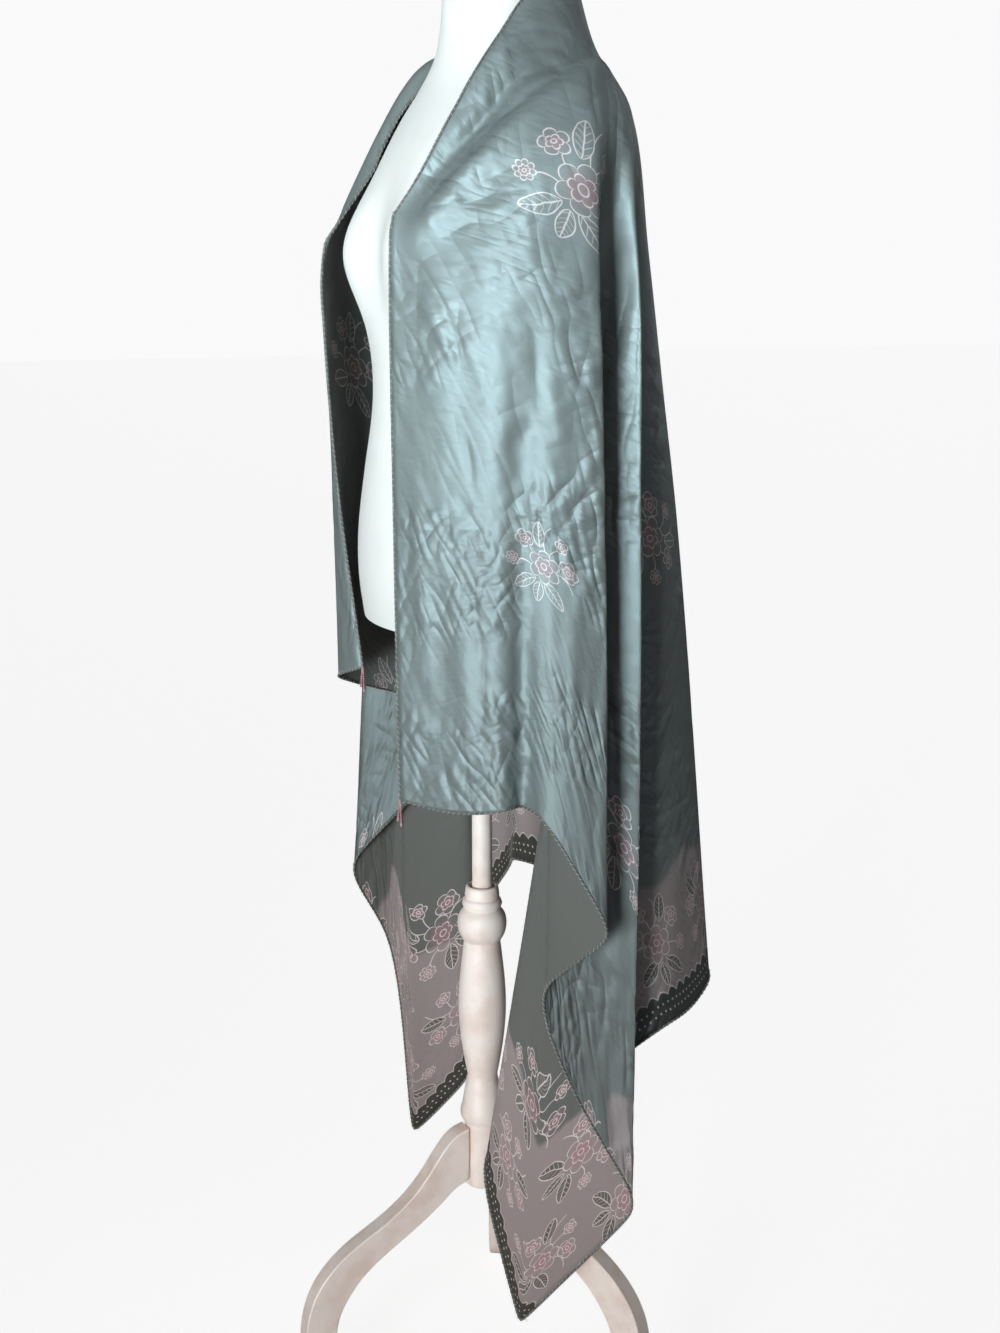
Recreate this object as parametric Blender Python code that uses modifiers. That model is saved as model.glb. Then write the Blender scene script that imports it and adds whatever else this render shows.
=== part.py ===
"""Silk shawl, printed with flowers, worn over a limbless dress form on a turned tripod stand.

The shawl is one rectangle of satin. Its top long edge makes the collar and both front edges, and
its two short ends fall in cascades. Each row of RIBS is one line of the cloth, from the top edge
over the shoulder and down to the hem, and the folds are where neighbouring ribs turn back.
The form faces -Y, and its left shoulder is at +X. All sizes are in metres.
"""
import math
from collections import namedtuple

import bmesh
import bpy
from mathutils import Vector
from mathutils.bvhtree import BVHTree

# Driving sizes
CLOTH_WALL = 0.0016
CLOTH_CLEARANCE = 0.0045
SEAM_GAP = 0.0003
POLE_RADIUS = 0.0113
FORM_BOTTOM = 0.903
FORM_TOP = 1.606
HUB_BOTTOM = 0.228
HUB_TOP = 0.3077
HUB_RADIUS = 0.021
BALUSTER_BOTTOM = 0.308
CUP_FLOOR = 0.574
CUP_MOUTH = 0.585
HUB_CHAMFER = 0.002
LEG_WIDTH = 0.022
LEG_COUNT = 3
LEG_BEVEL = 0.0012
TASSEL_LENGTH = 0.026
TASSEL_STRANDS = 3
TASSEL_HEAD_RADIUS = 0.003
TASSEL_DROP = 0.0006
STRAND_ROOT_RADIUS = 0.0016
STRAND_END_RADIUS = 0.001
STRAND_ROOT_SPREAD = 0.0008
STRAND_END_SPREAD = 0.004

# The form: height, half width, front and back of each section
FormRow = namedtuple("FormRow", "z half_width front back")
FORM_ROWS = [
    FormRow(0.903, 0.150, -0.122, 0.092),
    FormRow(0.935, 0.156, -0.127, 0.097),
    FormRow(0.990, 0.157, -0.128, 0.100),
    FormRow(1.060, 0.142, -0.121, 0.094),
    FormRow(1.136, 0.120, -0.112, 0.080),
    FormRow(1.215, 0.132, -0.112, 0.090),
    FormRow(1.295, 0.148, -0.110, 0.101),
    FormRow(1.350, 0.160, -0.101, 0.103),
    FormRow(1.395, 0.169, -0.082, 0.098),
    FormRow(1.425, 0.166, -0.064, 0.088),
    FormRow(1.448, 0.140, -0.050, 0.080),
    FormRow(1.470, 0.098, -0.043, 0.076),
    FormRow(1.492, 0.066, -0.039, 0.073),
    FormRow(1.530, 0.055, -0.037, 0.071),
    FormRow(1.580, 0.053, -0.036, 0.070),
    FormRow(1.598, 0.048, -0.031, 0.065),
    FormRow(FORM_TOP, 0.036, -0.019, 0.053),
]
FORM_SEGMENTS = 36
FORM_ROW_SPACING = 0.026
BUST_X = 0.072
BUST_Z = 1.288
BUST_DEPTH = 0.034
BUST_SPREAD_X = 0.046
BUST_SPREAD_Z = 0.058

# The turned baluster, from the cup's rim down its outer side: radius and height
TurnRow = namedtuple("TurnRow", "radius z")
BALUSTER_ROWS = [
    TurnRow(0.0165, 0.5945), TurnRow(0.0185, 0.5930), TurnRow(0.0192, 0.5880),
    TurnRow(0.0200, 0.5830), TurnRow(0.0188, 0.5800), TurnRow(0.0215, 0.5780),
    TurnRow(0.0229, 0.5735), TurnRow(0.0215, 0.5690), TurnRow(0.0203, 0.5675),
    TurnRow(0.0245, 0.5640), TurnRow(0.0272, 0.5585), TurnRow(0.0283, 0.5510),
    TurnRow(0.0276, 0.5430), TurnRow(0.0250, 0.5350), TurnRow(0.0208, 0.5295),
    TurnRow(0.0215, 0.5230), TurnRow(0.0240, 0.5020), TurnRow(0.0266, 0.4780),
    TurnRow(0.0277, 0.4530), TurnRow(0.0270, 0.4300), TurnRow(0.0240, 0.4020),
    TurnRow(0.0200, 0.3790), TurnRow(0.0180, 0.3680), TurnRow(0.0170, 0.3640),
    TurnRow(0.0183, 0.3600), TurnRow(0.0203, 0.3480), TurnRow(0.0232, 0.3320),
    TurnRow(0.0236, 0.3270), TurnRow(0.0254, 0.3240), TurnRow(0.0262, 0.3180),
    TurnRow(0.0252, 0.3120), TurnRow(0.0225, BALUSTER_BOTTOM),
]
TURN_STEPS = 28

# One leg, seen from its side: distance out from the stand's axis and height
LegRow = namedtuple("LegRow", "out z")
LEG_TOP = [
    LegRow(0.018, 0.304), LegRow(0.037, 0.299), LegRow(0.055, 0.281), LegRow(0.073, 0.255),
    LegRow(0.098, 0.228), LegRow(0.131, 0.205), LegRow(0.164, 0.187), LegRow(0.190, 0.167),
    LegRow(0.208, 0.145), LegRow(0.219, 0.121), LegRow(0.224, 0.096), LegRow(0.227, 0.070),
    LegRow(0.234, 0.048), LegRow(0.247, 0.033), LegRow(0.263, 0.024), LegRow(0.274, 0.016),
    LegRow(0.278, 0.006), LegRow(0.277, 0.000),
]
LEG_UNDER = [
    LegRow(0.018, 0.240), LegRow(0.039, 0.232), LegRow(0.055, 0.218), LegRow(0.083, 0.197),
    LegRow(0.116, 0.176), LegRow(0.149, 0.153), LegRow(0.169, 0.131), LegRow(0.182, 0.109),
    LegRow(0.188, 0.086), LegRow(0.189, 0.060), LegRow(0.191, 0.036), LegRow(0.199, 0.015),
    LegRow(0.212, 0.003), LegRow(0.222, 0.000),
]

# The cloth's ribs, from the left front edge round the back to the right front edge.
# turn is how far from the rib, seen from above, the cloth starts to bend: small at a fold, large
# on a soft curve, and never past LARGEST_BEND of the way to the next rib.
Rib = namedtuple("Rib", "name turn edge base rim bust hip hem")
RIBS = [
    Rib("left_edge", 0.01, (0.106, -0.139, 1.319), (0.107, -0.142, 1.305), (0.107, -0.143, 1.290),
        (0.106, -0.143, 1.260), (0.100, -0.140, 1.060), (0.097, -0.136, 0.738)),
    Rib("left_roll", 0.20, (0.117, -0.103, 1.379), (0.134, -0.101, 1.352), (0.143, -0.107, 1.325),
        (0.150, -0.111, 1.285), (0.152, -0.112, 1.060), (0.153, -0.099, 0.733)),
    Rib("left_pleat_front", 0.04, (0.114, -0.062, 1.439), (0.140, -0.064, 1.397),
        (0.170, -0.073, 1.345), (0.183, -0.075, 1.290), (0.192, -0.068, 1.060),
        (0.198, -0.061, 0.745)),
    Rib("left_pleat_deep", 0.04, (0.109, -0.043, 1.466), (0.139, -0.040, 1.422),
        (0.186, -0.050, 1.358), (0.200, -0.055, 1.290), (0.204, -0.050, 1.060),
        (0.182, -0.036, 0.742)),
    Rib("left_pleat_back", 0.02, (0.104, -0.024, 1.492), (0.134, -0.010, 1.450),
        (0.197, -0.028, 1.372), (0.210, -0.034, 1.290), (0.217, -0.030, 1.060),
        (0.220, -0.030, 0.738)),
    Rib("left_fold_1", 0.02, (0.098, -0.002, 1.521), (0.122, 0.025, 1.475), (0.207, 0.020, 1.390),
        (0.218, 0.022, 1.290), (0.228, 0.026, 1.060), (0.243, 0.037, 0.613)),
    Rib("left_fold_2", 0.02, (0.094, 0.016, 1.534), (0.114, 0.044, 1.484), (0.195, 0.039, 1.398),
        (0.196, 0.022, 1.290), (0.192, -0.010, 1.040), (0.160, -0.012, 0.530)),
    Rib("left_groove", 0.05, (0.088, 0.034, 1.545), (0.104, 0.058, 1.491), (0.180, 0.054, 1.406),
        (0.178, 0.055, 1.290), (0.184, 0.046, 1.040), (0.190, 0.040, 0.421)),
    Rib("left_fold_3", 0.02, (0.080, 0.050, 1.552), (0.093, 0.070, 1.494), (0.164, 0.080, 1.414),
        (0.186, 0.086, 1.290), (0.203, 0.087, 1.040), (0.200, 0.097, 0.277)),
    Rib("left_corner", 0.004, (0.070, 0.062, 1.556), (0.085, 0.077, 1.496), (0.152, 0.089, 1.419),
        (0.158, 0.080, 1.290), (0.165, 0.058, 1.040), (0.118, -0.008, 0.113)),
    Rib("left_fold_4", 0.02, (0.060, 0.072, 1.559), (0.077, 0.084, 1.496), (0.143, 0.096, 1.421),
        (0.146, 0.080, 1.290), (0.156, 0.036, 1.040), (0.074, -0.043, 0.307)),
    Rib("left_inner", 0.05, (0.050, 0.080, 1.561), (0.069, 0.090, 1.496), (0.136, 0.102, 1.417),
        (0.136, 0.098, 1.290), (0.140, 0.085, 1.040), (0.121, 0.058, 0.385)),
    Rib("back_left_side", 0.20, (0.040, 0.086, 1.563), (0.060, 0.097, 1.495),
        (0.124, 0.112, 1.408), (0.135, 0.120, 1.290), (0.152, 0.126, 1.040),
        (0.177, 0.131, 0.468)),
    Rib("back_left_soft", 0.20, (0.028, 0.092, 1.564), (0.047, 0.104, 1.494),
        (0.104, 0.122, 1.400), (0.115, 0.136, 1.290), (0.132, 0.156, 1.040),
        (0.154, 0.189, 0.472)),
    Rib("back_left_fold", 0.08, (0.016, 0.096, 1.565), (0.029, 0.110, 1.492),
        (0.070, 0.132, 1.395), (0.082, 0.150, 1.290), (0.096, 0.187, 1.040),
        (0.119, 0.243, 0.506)),
    Rib("back_left_valley", 0.05, (0.004, 0.098, 1.565), (0.010, 0.112, 1.491),
        (0.030, 0.120, 1.392), (0.038, 0.124, 1.290), (0.050, 0.134, 1.040),
        (0.062, 0.150, 0.535)),
    Rib("back_middle_fold", 0.05, (-0.009, 0.098, 1.564), (-0.010, 0.112, 1.490),
        (-0.014, 0.128, 1.392), (-0.016, 0.147, 1.290), (-0.018, 0.192, 1.040),
        (-0.018, 0.262, 0.500)),
    Rib("back_right_valley", 0.05, (-0.019, 0.096, 1.562), (-0.028, 0.110, 1.490),
        (-0.058, 0.119, 1.392), (-0.068, 0.121, 1.290), (-0.078, 0.126, 1.040),
        (-0.084, 0.134, 0.545)),
    Rib("back_right_fold", 0.05, (-0.029, 0.093, 1.560), (-0.044, 0.106, 1.490),
        (-0.094, 0.119, 1.395), (-0.108, 0.133, 1.290), (-0.125, 0.162, 1.040),
        (-0.146, 0.218, 0.515)),
    Rib("back_right_hollow", 0.05, (-0.038, 0.090, 1.558), (-0.057, 0.101, 1.490),
        (-0.119, 0.112, 1.398), (-0.134, 0.117, 1.290), (-0.156, 0.120, 1.040),
        (-0.184, 0.122, 0.555)),
    Rib("back_right_side", 0.05, (-0.046, 0.086, 1.556), (-0.069, 0.096, 1.490),
        (-0.138, 0.106, 1.401), (-0.160, 0.115, 1.290), (-0.192, 0.138, 1.040),
        (-0.238, 0.152, 0.520)),
    Rib("right_fold_5", 0.02, (-0.055, 0.080, 1.553), (-0.080, 0.089, 1.490),
        (-0.152, 0.098, 1.405), (-0.182, 0.106, 1.290), (-0.235, 0.106, 1.040),
        (-0.292, 0.085, 0.400)),
    Rib("right_fold_4", 0.02, (-0.064, 0.072, 1.549), (-0.090, 0.080, 1.490),
        (-0.162, 0.087, 1.410), (-0.191, 0.090, 1.290), (-0.200, 0.088, 1.040),
        (-0.208, 0.088, 0.262)),
    Rib("right_soft", 0.10, (-0.072, 0.064, 1.545), (-0.100, 0.070, 1.490),
        (-0.170, 0.075, 1.413), (-0.203, 0.078, 1.290), (-0.225, 0.055, 1.040),
        (-0.243, 0.034, 0.186)),
    Rib("right_corner", 0.004, (-0.080, 0.055, 1.540), (-0.108, 0.060, 1.490),
        (-0.178, 0.063, 1.415), (-0.214, 0.066, 1.290), (-0.245, 0.030, 1.040),
        (-0.249, 0.011, 0.167)),
    Rib("right_crease", 0.02, (-0.086, 0.046, 1.534), (-0.114, 0.050, 1.490),
        (-0.184, 0.052, 1.417), (-0.219, 0.052, 1.290), (-0.262, 0.012, 1.040),
        (-0.274, 0.003, 0.422)),
    Rib("right_fold_2", 0.02, (-0.091, 0.037, 1.527), (-0.120, 0.040, 1.490),
        (-0.190, 0.040, 1.419), (-0.224, 0.026, 1.290), (-0.250, -0.028, 1.040),
        (-0.273, -0.066, 0.541)),
    Rib("right_fold_1", 0.02, (-0.097, 0.026, 1.517), (-0.124, 0.028, 1.496),
        (-0.191, 0.027, 1.421), (-0.200, 0.034, 1.290), (-0.192, 0.062, 1.040),
        (-0.182, 0.085, 0.727)),
    Rib("right_side", 0.20, (-0.109, 0.003, 1.482), (-0.127, 0.008, 1.502),
        (-0.186, 0.010, 1.424), (-0.196, 0.000, 1.290), (-0.196, 0.000, 1.040),
        (-0.192, -0.012, 0.775)),
    Rib("right_chest", 0.20, (-0.108, -0.045, 1.416), (-0.130, -0.040, 1.455),
        (-0.172, -0.045, 1.390), (-0.184, -0.065, 1.290), (-0.180, -0.072, 1.040),
        (-0.167, -0.076, 0.798)),
    Rib("right_turn", 0.02, (-0.101, -0.100, 1.345), (-0.116, -0.106, 1.340),
        (-0.129, -0.114, 1.306), (-0.132, -0.120, 1.260), (-0.126, -0.127, 1.040),
        (-0.126, -0.128, 0.823)),
    Rib("right_edge", 0.01, (-0.110, -0.131, 1.300), (-0.110, -0.134, 1.285),
        (-0.108, -0.137, 1.265), (-0.100, -0.138, 1.200), (-0.088, -0.130, 1.030),
        (-0.071, -0.112, 0.842)),
]
LARGEST_BEND = 0.46
# How many rows of faces lie between a rib's edge, base, rim, bust, hip and hem
RIB_STEPS = [3, 3, 3, 4, 8]

# The stretches of cloth that show: each runs from halfway before its first rib
Stretch = namedtuple("Stretch", "name first last")
STRETCHES = [
    Stretch("left_front", "left_edge", "left_fold_1"),
    Stretch("left_cascade", "left_fold_2", "left_inner"),
    Stretch("back_panel", "back_left_side", "back_right_side"),
    Stretch("right_cascade", "right_fold_5", "right_fold_2"),
    Stretch("right_front", "right_fold_1", "right_edge"),
]

# What each kind of piece is finished with: a linear colour and a roughness
Finish = namedtuple("Finish", "colour roughness")
SATIN = Finish((0.17, 0.24, 0.24, 1.0), 0.35)
FORM_COVER = Finish((0.88, 0.88, 0.87, 1.0), 0.8)
STAND_PAINT = Finish((0.80, 0.70, 0.66, 1.0), 0.45)
BEADS = Finish((0.75, 0.45, 0.50, 1.0), 0.2)


def clear_scene():
    """Remove every object that the file holds."""
    for old in list(bpy.data.objects):
        bpy.data.objects.remove(old, do_unlink=True)


def make_material(name, finish):
    """A Principled material with one finish."""
    material = bpy.data.materials.new(name)
    material.use_nodes = True
    shader = material.node_tree.nodes["Principled BSDF"]
    shader.inputs["Base Color"].default_value = finish.colour
    shader.inputs["Roughness"].default_value = finish.roughness
    return material


def add_object(name, bm, finish, smooth=True, group="silk_shawl"):
    """Put a bmesh in one of the two collections as a named object."""
    mesh = bpy.data.meshes.new(name)
    bm.to_mesh(mesh)
    bm.free()
    if smooth:
        mesh.shade_smooth()
    mesh.materials.append(make_material(name, finish))
    thing = bpy.data.objects.new(name, mesh)
    bpy.data.collections[group].objects.link(thing)
    return thing


def curve_through(points, steps):
    """Points on a smooth curve through the given points, with a number of steps between each."""
    points = [Vector(p) for p in points]
    lengths = [(b - a).length for a, b in zip(points, points[1:])]
    slopes = [(b - a) / size for a, b, size in zip(points, points[1:], lengths)]
    tangents = [slopes[0]]
    for before, after, size_a, size_b in zip(slopes, slopes[1:], lengths, lengths[1:]):
        tangents.append((before * size_b + after * size_a) / (size_a + size_b))
    tangents.append(slopes[-1])
    result = [points[0]]
    for index, count in enumerate(steps):
        a, b = points[index], points[index + 1]
        out, into = tangents[index] * lengths[index], tangents[index + 1] * lengths[index]
        for step in range(1, count + 1):
            t = step / count
            result.append(
                a * (2 * t**3 - 3 * t**2 + 1) + out * (t**3 - 2 * t**2 + t)
                + b * (3 * t**2 - 2 * t**3) + into * (t**3 - t**2)
            )
    return result


def bend(before, corner, after, turn):
    """Three points that round a corner of a section: where the bend starts, its middle, its end."""
    back, ahead = before - corner, after - corner
    start = corner + back * min(LARGEST_BEND, turn / back.xy.length)
    end = corner + ahead * min(LARGEST_BEND, turn / ahead.xy.length)
    return [start, start * 0.25 + corner * 0.5 + end * 0.25, end]


def clear_of(tree, point):
    """The point, moved out along the form's surface normal where it lies too near the form."""
    nearest, normal, _, _ = tree.find_nearest(point)
    short = CLOTH_CLEARANCE - (point - nearest).dot(normal)
    return point + normal * short if short > 0 else point


def section(ribs, curves, row, first, last):
    """One section of a stretch: the cloth's points across ribs first to last at one row."""
    points = []
    if first > 0:
        a, b = curves[first - 1][row], curves[first][row]
        middle = (a + b) * 0.5
        points.append(middle + (b - a).normalized() * SEAM_GAP * 0.5)
    for index in range(first, last + 1):
        here = curves[index][row]
        if index == 0 or index == len(ribs) - 1:
            points.append(here)
        else:
            points += bend(curves[index - 1][row], here, curves[index + 1][row], ribs[index].turn)
    if last < len(ribs) - 1:
        a, b = curves[last][row], curves[last + 1][row]
        middle = (a + b) * 0.5
        points.append(middle - (b - a).normalized() * SEAM_GAP * 0.5)
    return points


def make_cloth(form):
    """The shawl's stretches, each an open sheet with a wall from Solidify."""
    tree = BVHTree.FromObject(form, bpy.context.evaluated_depsgraph_get())
    curves = [curve_through(rib[2:], RIB_STEPS) for rib in RIBS]
    names = [rib.name for rib in RIBS]
    for stretch in STRETCHES:
        first, last = names.index(stretch.first), names.index(stretch.last)
        bm = bmesh.new()
        rows = [
            [bm.verts.new(clear_of(tree, p)) for p in section(RIBS, curves, row, first, last)]
            for row in range(sum(RIB_STEPS) + 1)
        ]
        for upper, lower in zip(rows, rows[1:]):
            for left, right, low_left, low_right in zip(upper, upper[1:], lower, lower[1:]):
                bm.faces.new((left, low_left, low_right, right))
        thing = add_object(stretch.name, bm, SATIN)
        wall = thing.modifiers.new("wall", "SOLIDIFY")
        wall.thickness = CLOTH_WALL
        wall.offset = 0.0
        wall.use_even_offset = True
        wall.use_quality_normals = True


def smooth_value(rows, z, column):
    """A column of FORM_ROWS at height z, along a smooth curve through the rows."""
    for index in range(len(rows) - 1):
        if z <= rows[index + 1].z:
            break
    low, high = rows[index], rows[index + 1]
    below = rows[max(index - 1, 0)]
    above = rows[min(index + 2, len(rows) - 1)]
    span = high.z - low.z
    t = (z - low.z) / span
    v0, v1 = getattr(low, column), getattr(high, column)
    m0 = (v1 - getattr(below, column)) / (high.z - below.z) * span
    m1 = (getattr(above, column) - v0) / (above.z - low.z) * span
    return (
        v0 * (2 * t**3 - 3 * t**2 + 1) + m0 * (t**3 - 2 * t**2 + t)
        + v1 * (3 * t**2 - 2 * t**3) + m1 * (t**3 - t**2)
    )


def form_ring(z):
    """The form's section at height z, with the bust's two rounds on its front."""
    half = smooth_value(FORM_ROWS, z, "half_width")
    front = smooth_value(FORM_ROWS, z, "front")
    back = smooth_value(FORM_ROWS, z, "back")
    middle, depth = (front + back) / 2, (back - front) / 2
    ring = []
    for step in range(FORM_SEGMENTS):
        angle = 2 * math.pi * step / FORM_SEGMENTS
        x = half * math.cos(angle)
        y = middle + depth * math.sin(angle)
        if math.sin(angle) < 0:
            near = ((abs(x) - BUST_X) / BUST_SPREAD_X) ** 2 + ((z - BUST_Z) / BUST_SPREAD_Z) ** 2
            y -= BUST_DEPTH * math.exp(-near) * min(1.0, -3.0 * math.sin(angle))
        ring.append((x, y, z))
    return ring


def make_form():
    """The limbless form, closed by a flat bottom and a plain neck cap."""
    bm = bmesh.new()
    heights = [FORM_ROWS[0].z]
    for low, high in zip(FORM_ROWS, FORM_ROWS[1:]):
        count = max(1, round((high.z - low.z) / FORM_ROW_SPACING))
        heights += [low.z + (high.z - low.z) * step / count for step in range(1, count + 1)]
    rings = [[bm.verts.new(p) for p in form_ring(z)] for z in heights]
    for low, high in zip(rings, rings[1:]):
        for i in range(FORM_SEGMENTS):
            j = (i + 1) % FORM_SEGMENTS
            bm.faces.new((low[i], low[j], high[j], high[i]))
    bm.faces.new(list(reversed(rings[0])))
    bm.faces.new(rings[-1])
    return add_object("dress_form", bm, FORM_COVER)


def make_turned(name, profile, finish):
    """A turned piece from a profile that runs from its top, down the outside, to its foot."""
    bm = bmesh.new()
    verts = [bm.verts.new((radius, 0.0, z)) for radius, z in profile]
    for a, b in zip(verts, verts[1:]):
        bm.edges.new((a, b))
    thing = add_object(name, bm, finish)
    screw = thing.modifiers.new("turn", "SCREW")
    screw.steps = TURN_STEPS
    screw.render_steps = TURN_STEPS
    screw.use_merge_vertices = True
    screw.merge_threshold = 0.0001
    return thing


def make_stand():
    """The pole, the turned baluster with the cup that holds it, and the hub."""
    pole = [(0.0, FORM_BOTTOM - SEAM_GAP), (POLE_RADIUS, FORM_BOTTOM - SEAM_GAP),
            (POLE_RADIUS, CUP_FLOOR + SEAM_GAP), (0.0, CUP_FLOOR + SEAM_GAP)]
    make_turned("pole", pole, STAND_PAINT)
    bore = POLE_RADIUS + SEAM_GAP
    baluster = [(0.0, CUP_FLOOR), (bore, CUP_FLOOR), (bore, CUP_MOUTH)]
    baluster += [tuple(row) for row in BALUSTER_ROWS]
    baluster.append((0.0, BALUSTER_BOTTOM))
    make_turned("baluster", baluster, STAND_PAINT)
    hub = [(0.0, HUB_TOP), (HUB_RADIUS, HUB_TOP), (HUB_RADIUS, HUB_BOTTOM + HUB_CHAMFER),
           (HUB_RADIUS - HUB_CHAMFER, HUB_BOTTOM), (0.0, HUB_BOTTOM)]
    make_turned("hub", hub, STAND_PAINT)


def leg_points(rows, count):
    """Points along one edge of a leg, on a smooth curve through its rows."""
    flat = [(row.out, 0.0, row.z) for row in rows]
    return [(p.x, p.z) for p in curve_through(flat, [count] * (len(rows) - 1))]


def make_leg(number):
    """A leg sawn from a board along its two curved edges, with a flat end against the hub."""
    seat = HUB_RADIUS + SEAM_GAP
    top = [p for p in leg_points(LEG_TOP, 2) if p[0] > seat]
    under = [p for p in leg_points(LEG_UNDER, 2) if p[0] > seat]
    outline = [(seat, LEG_TOP[0].z)] + top + list(reversed(under)) + [(seat, LEG_UNDER[0].z)]
    bm = bmesh.new()
    sides = []
    for side in (-0.5, 0.5):
        sides.append([bm.verts.new((side * LEG_WIDTH, -out, z)) for out, z in outline])
    first, second = sides
    bm.faces.new(first)
    bm.faces.new(list(reversed(second)))
    for i in range(len(outline)):
        j = (i + 1) % len(outline)
        bm.faces.new((first[j], first[i], second[i], second[j]))
    bmesh.ops.recalc_face_normals(bm, faces=bm.faces)
    leg = add_object("leg_%d" % number, bm, STAND_PAINT, smooth=False)
    edges = leg.modifiers.new("soft_edges", "BEVEL")
    edges.width = LEG_BEVEL
    edges.segments = 1
    edges.limit_method = "ANGLE"
    leg.rotation_euler.z = 2 * math.pi * (number - 1) / LEG_COUNT
    return leg


def make_tassel(name, corner, lean):
    """Beaded strands that hang from a corner, their roots fused in a small round head."""
    bm = bmesh.new()
    centre = Vector(corner) - Vector((0.0, 0.0, TASSEL_HEAD_RADIUS + TASSEL_DROP))
    bmesh.ops.create_uvsphere(bm, u_segments=10, v_segments=8, radius=TASSEL_HEAD_RADIUS)
    bmesh.ops.translate(bm, verts=bm.verts, vec=centre)
    thing = add_object(name, bm, BEADS)
    for strand in range(TASSEL_STRANDS):
        angle = 2 * math.pi * strand / TASSEL_STRANDS + lean
        spread = Vector((math.cos(angle), math.sin(angle), 0.0))
        piece = bmesh.new()
        bmesh.ops.create_cone(
            piece, cap_ends=True, segments=4, radius1=STRAND_END_RADIUS,
            radius2=STRAND_ROOT_RADIUS, depth=TASSEL_LENGTH,
        )
        bmesh.ops.translate(piece, verts=piece.verts, vec=(0.0, 0.0, -TASSEL_LENGTH / 2))
        for vert in piece.verts:
            drop = -vert.co.z / TASSEL_LENGTH
            reach = STRAND_ROOT_SPREAD + (STRAND_END_SPREAD - STRAND_ROOT_SPREAD) * drop
            vert.co += spread * reach
        bmesh.ops.translate(piece, verts=piece.verts, vec=centre)
        label = "%s_strand_%d" % (name, strand + 1)
        cutter = add_object(label, piece, BEADS, group="cutters")
        cutter.hide_render = True
        cutter.display_type = "WIRE"
        join = thing.modifiers.new("strand_%d" % (strand + 1), "BOOLEAN")
        join.operation = "UNION"
        join.object = cutter


def make_tassels():
    """A tassel under each front corner of the shawl."""
    left, right = RIBS[0].hem, RIBS[-1].hem
    make_tassel("tassel_left", left, 0.4)
    make_tassel("tassel_right", right, 1.1)


def centre_on_feet():
    """Move everything so that the middle of the whole box is over the origin."""
    bpy.context.view_layer.update()
    graph = bpy.context.evaluated_depsgraph_get()
    spots = []
    for thing in bpy.data.collections["silk_shawl"].objects:
        mesh = thing.evaluated_get(graph).to_mesh()
        spots += [thing.matrix_world @ vert.co for vert in mesh.vertices]
    middle_x = (min(p.x for p in spots) + max(p.x for p in spots)) / 2
    middle_y = (min(p.y for p in spots) + max(p.y for p in spots)) / 2
    low = min(p.z for p in spots)
    for thing in bpy.data.objects:
        thing.location -= Vector((middle_x, middle_y, low))


def main():
    """Build the whole object."""
    clear_scene()
    for group in ("silk_shawl", "cutters"):
        bpy.context.scene.collection.children.link(bpy.data.collections.new(group))
    form = make_form()
    bpy.context.view_layer.update()
    make_cloth(form)
    make_stand()
    for number in range(1, LEG_COUNT + 1):
        make_leg(number)
    make_tassels()
    centre_on_feet()


main()
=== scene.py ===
"""A flowered silk shawl worn open over a limbless dress form on a turned tripod stand.

The shawl is one rectangle of satin. It is shaped here rib by rib, as a maker would drape it: its top long
edge makes the collar and both front edges, and its two short ends fall in cascades. All sizes are in metres.
"""
import math
from collections import namedtuple

import bmesh
import bpy
import numpy as np
from bpy.props import FloatProperty, FloatVectorProperty, IntProperty, PointerProperty
from mathutils import Matrix, Vector
from mathutils.bvhtree import BVHTree


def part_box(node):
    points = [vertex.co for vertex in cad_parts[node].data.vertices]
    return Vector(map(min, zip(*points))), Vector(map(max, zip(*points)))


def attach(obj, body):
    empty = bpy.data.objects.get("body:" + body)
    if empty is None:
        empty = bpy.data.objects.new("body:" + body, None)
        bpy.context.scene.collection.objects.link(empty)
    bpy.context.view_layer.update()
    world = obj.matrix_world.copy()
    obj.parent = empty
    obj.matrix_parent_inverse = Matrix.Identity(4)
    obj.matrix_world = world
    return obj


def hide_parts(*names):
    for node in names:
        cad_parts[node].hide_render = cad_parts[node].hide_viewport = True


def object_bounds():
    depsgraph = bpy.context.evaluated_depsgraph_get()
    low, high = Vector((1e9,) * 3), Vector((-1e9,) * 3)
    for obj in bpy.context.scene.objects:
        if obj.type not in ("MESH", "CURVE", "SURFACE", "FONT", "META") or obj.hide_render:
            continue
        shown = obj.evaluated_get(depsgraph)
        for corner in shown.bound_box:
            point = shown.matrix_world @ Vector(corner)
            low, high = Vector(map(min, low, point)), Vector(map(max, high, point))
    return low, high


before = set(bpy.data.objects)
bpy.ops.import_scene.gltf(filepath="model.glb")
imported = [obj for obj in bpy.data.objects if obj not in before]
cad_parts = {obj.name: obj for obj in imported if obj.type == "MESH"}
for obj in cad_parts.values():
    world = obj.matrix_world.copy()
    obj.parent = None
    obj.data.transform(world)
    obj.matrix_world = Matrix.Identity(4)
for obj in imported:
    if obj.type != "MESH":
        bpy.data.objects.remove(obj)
CAD_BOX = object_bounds()

bl_info = {
    "name": "Silk Shawl on a Dress Form",
    "version": (1, 0, 0),
    "blender": (4, 5, 0),
    "location": "3D View > Sidebar > Shawl",
    "description": "Dresses a limbless form and its stand with a printed silk shawl",
    "category": "Object",
}

# Where the stand's axis is, and the floor
POLE_LOW, POLE_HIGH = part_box("pole")
AXIS = Vector(((POLE_LOW.x + POLE_HIGH.x) / 2, (POLE_LOW.y + POLE_HIGH.y) / 2, 0.0))
FLOOR = CAD_BOX[0].z

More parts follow.
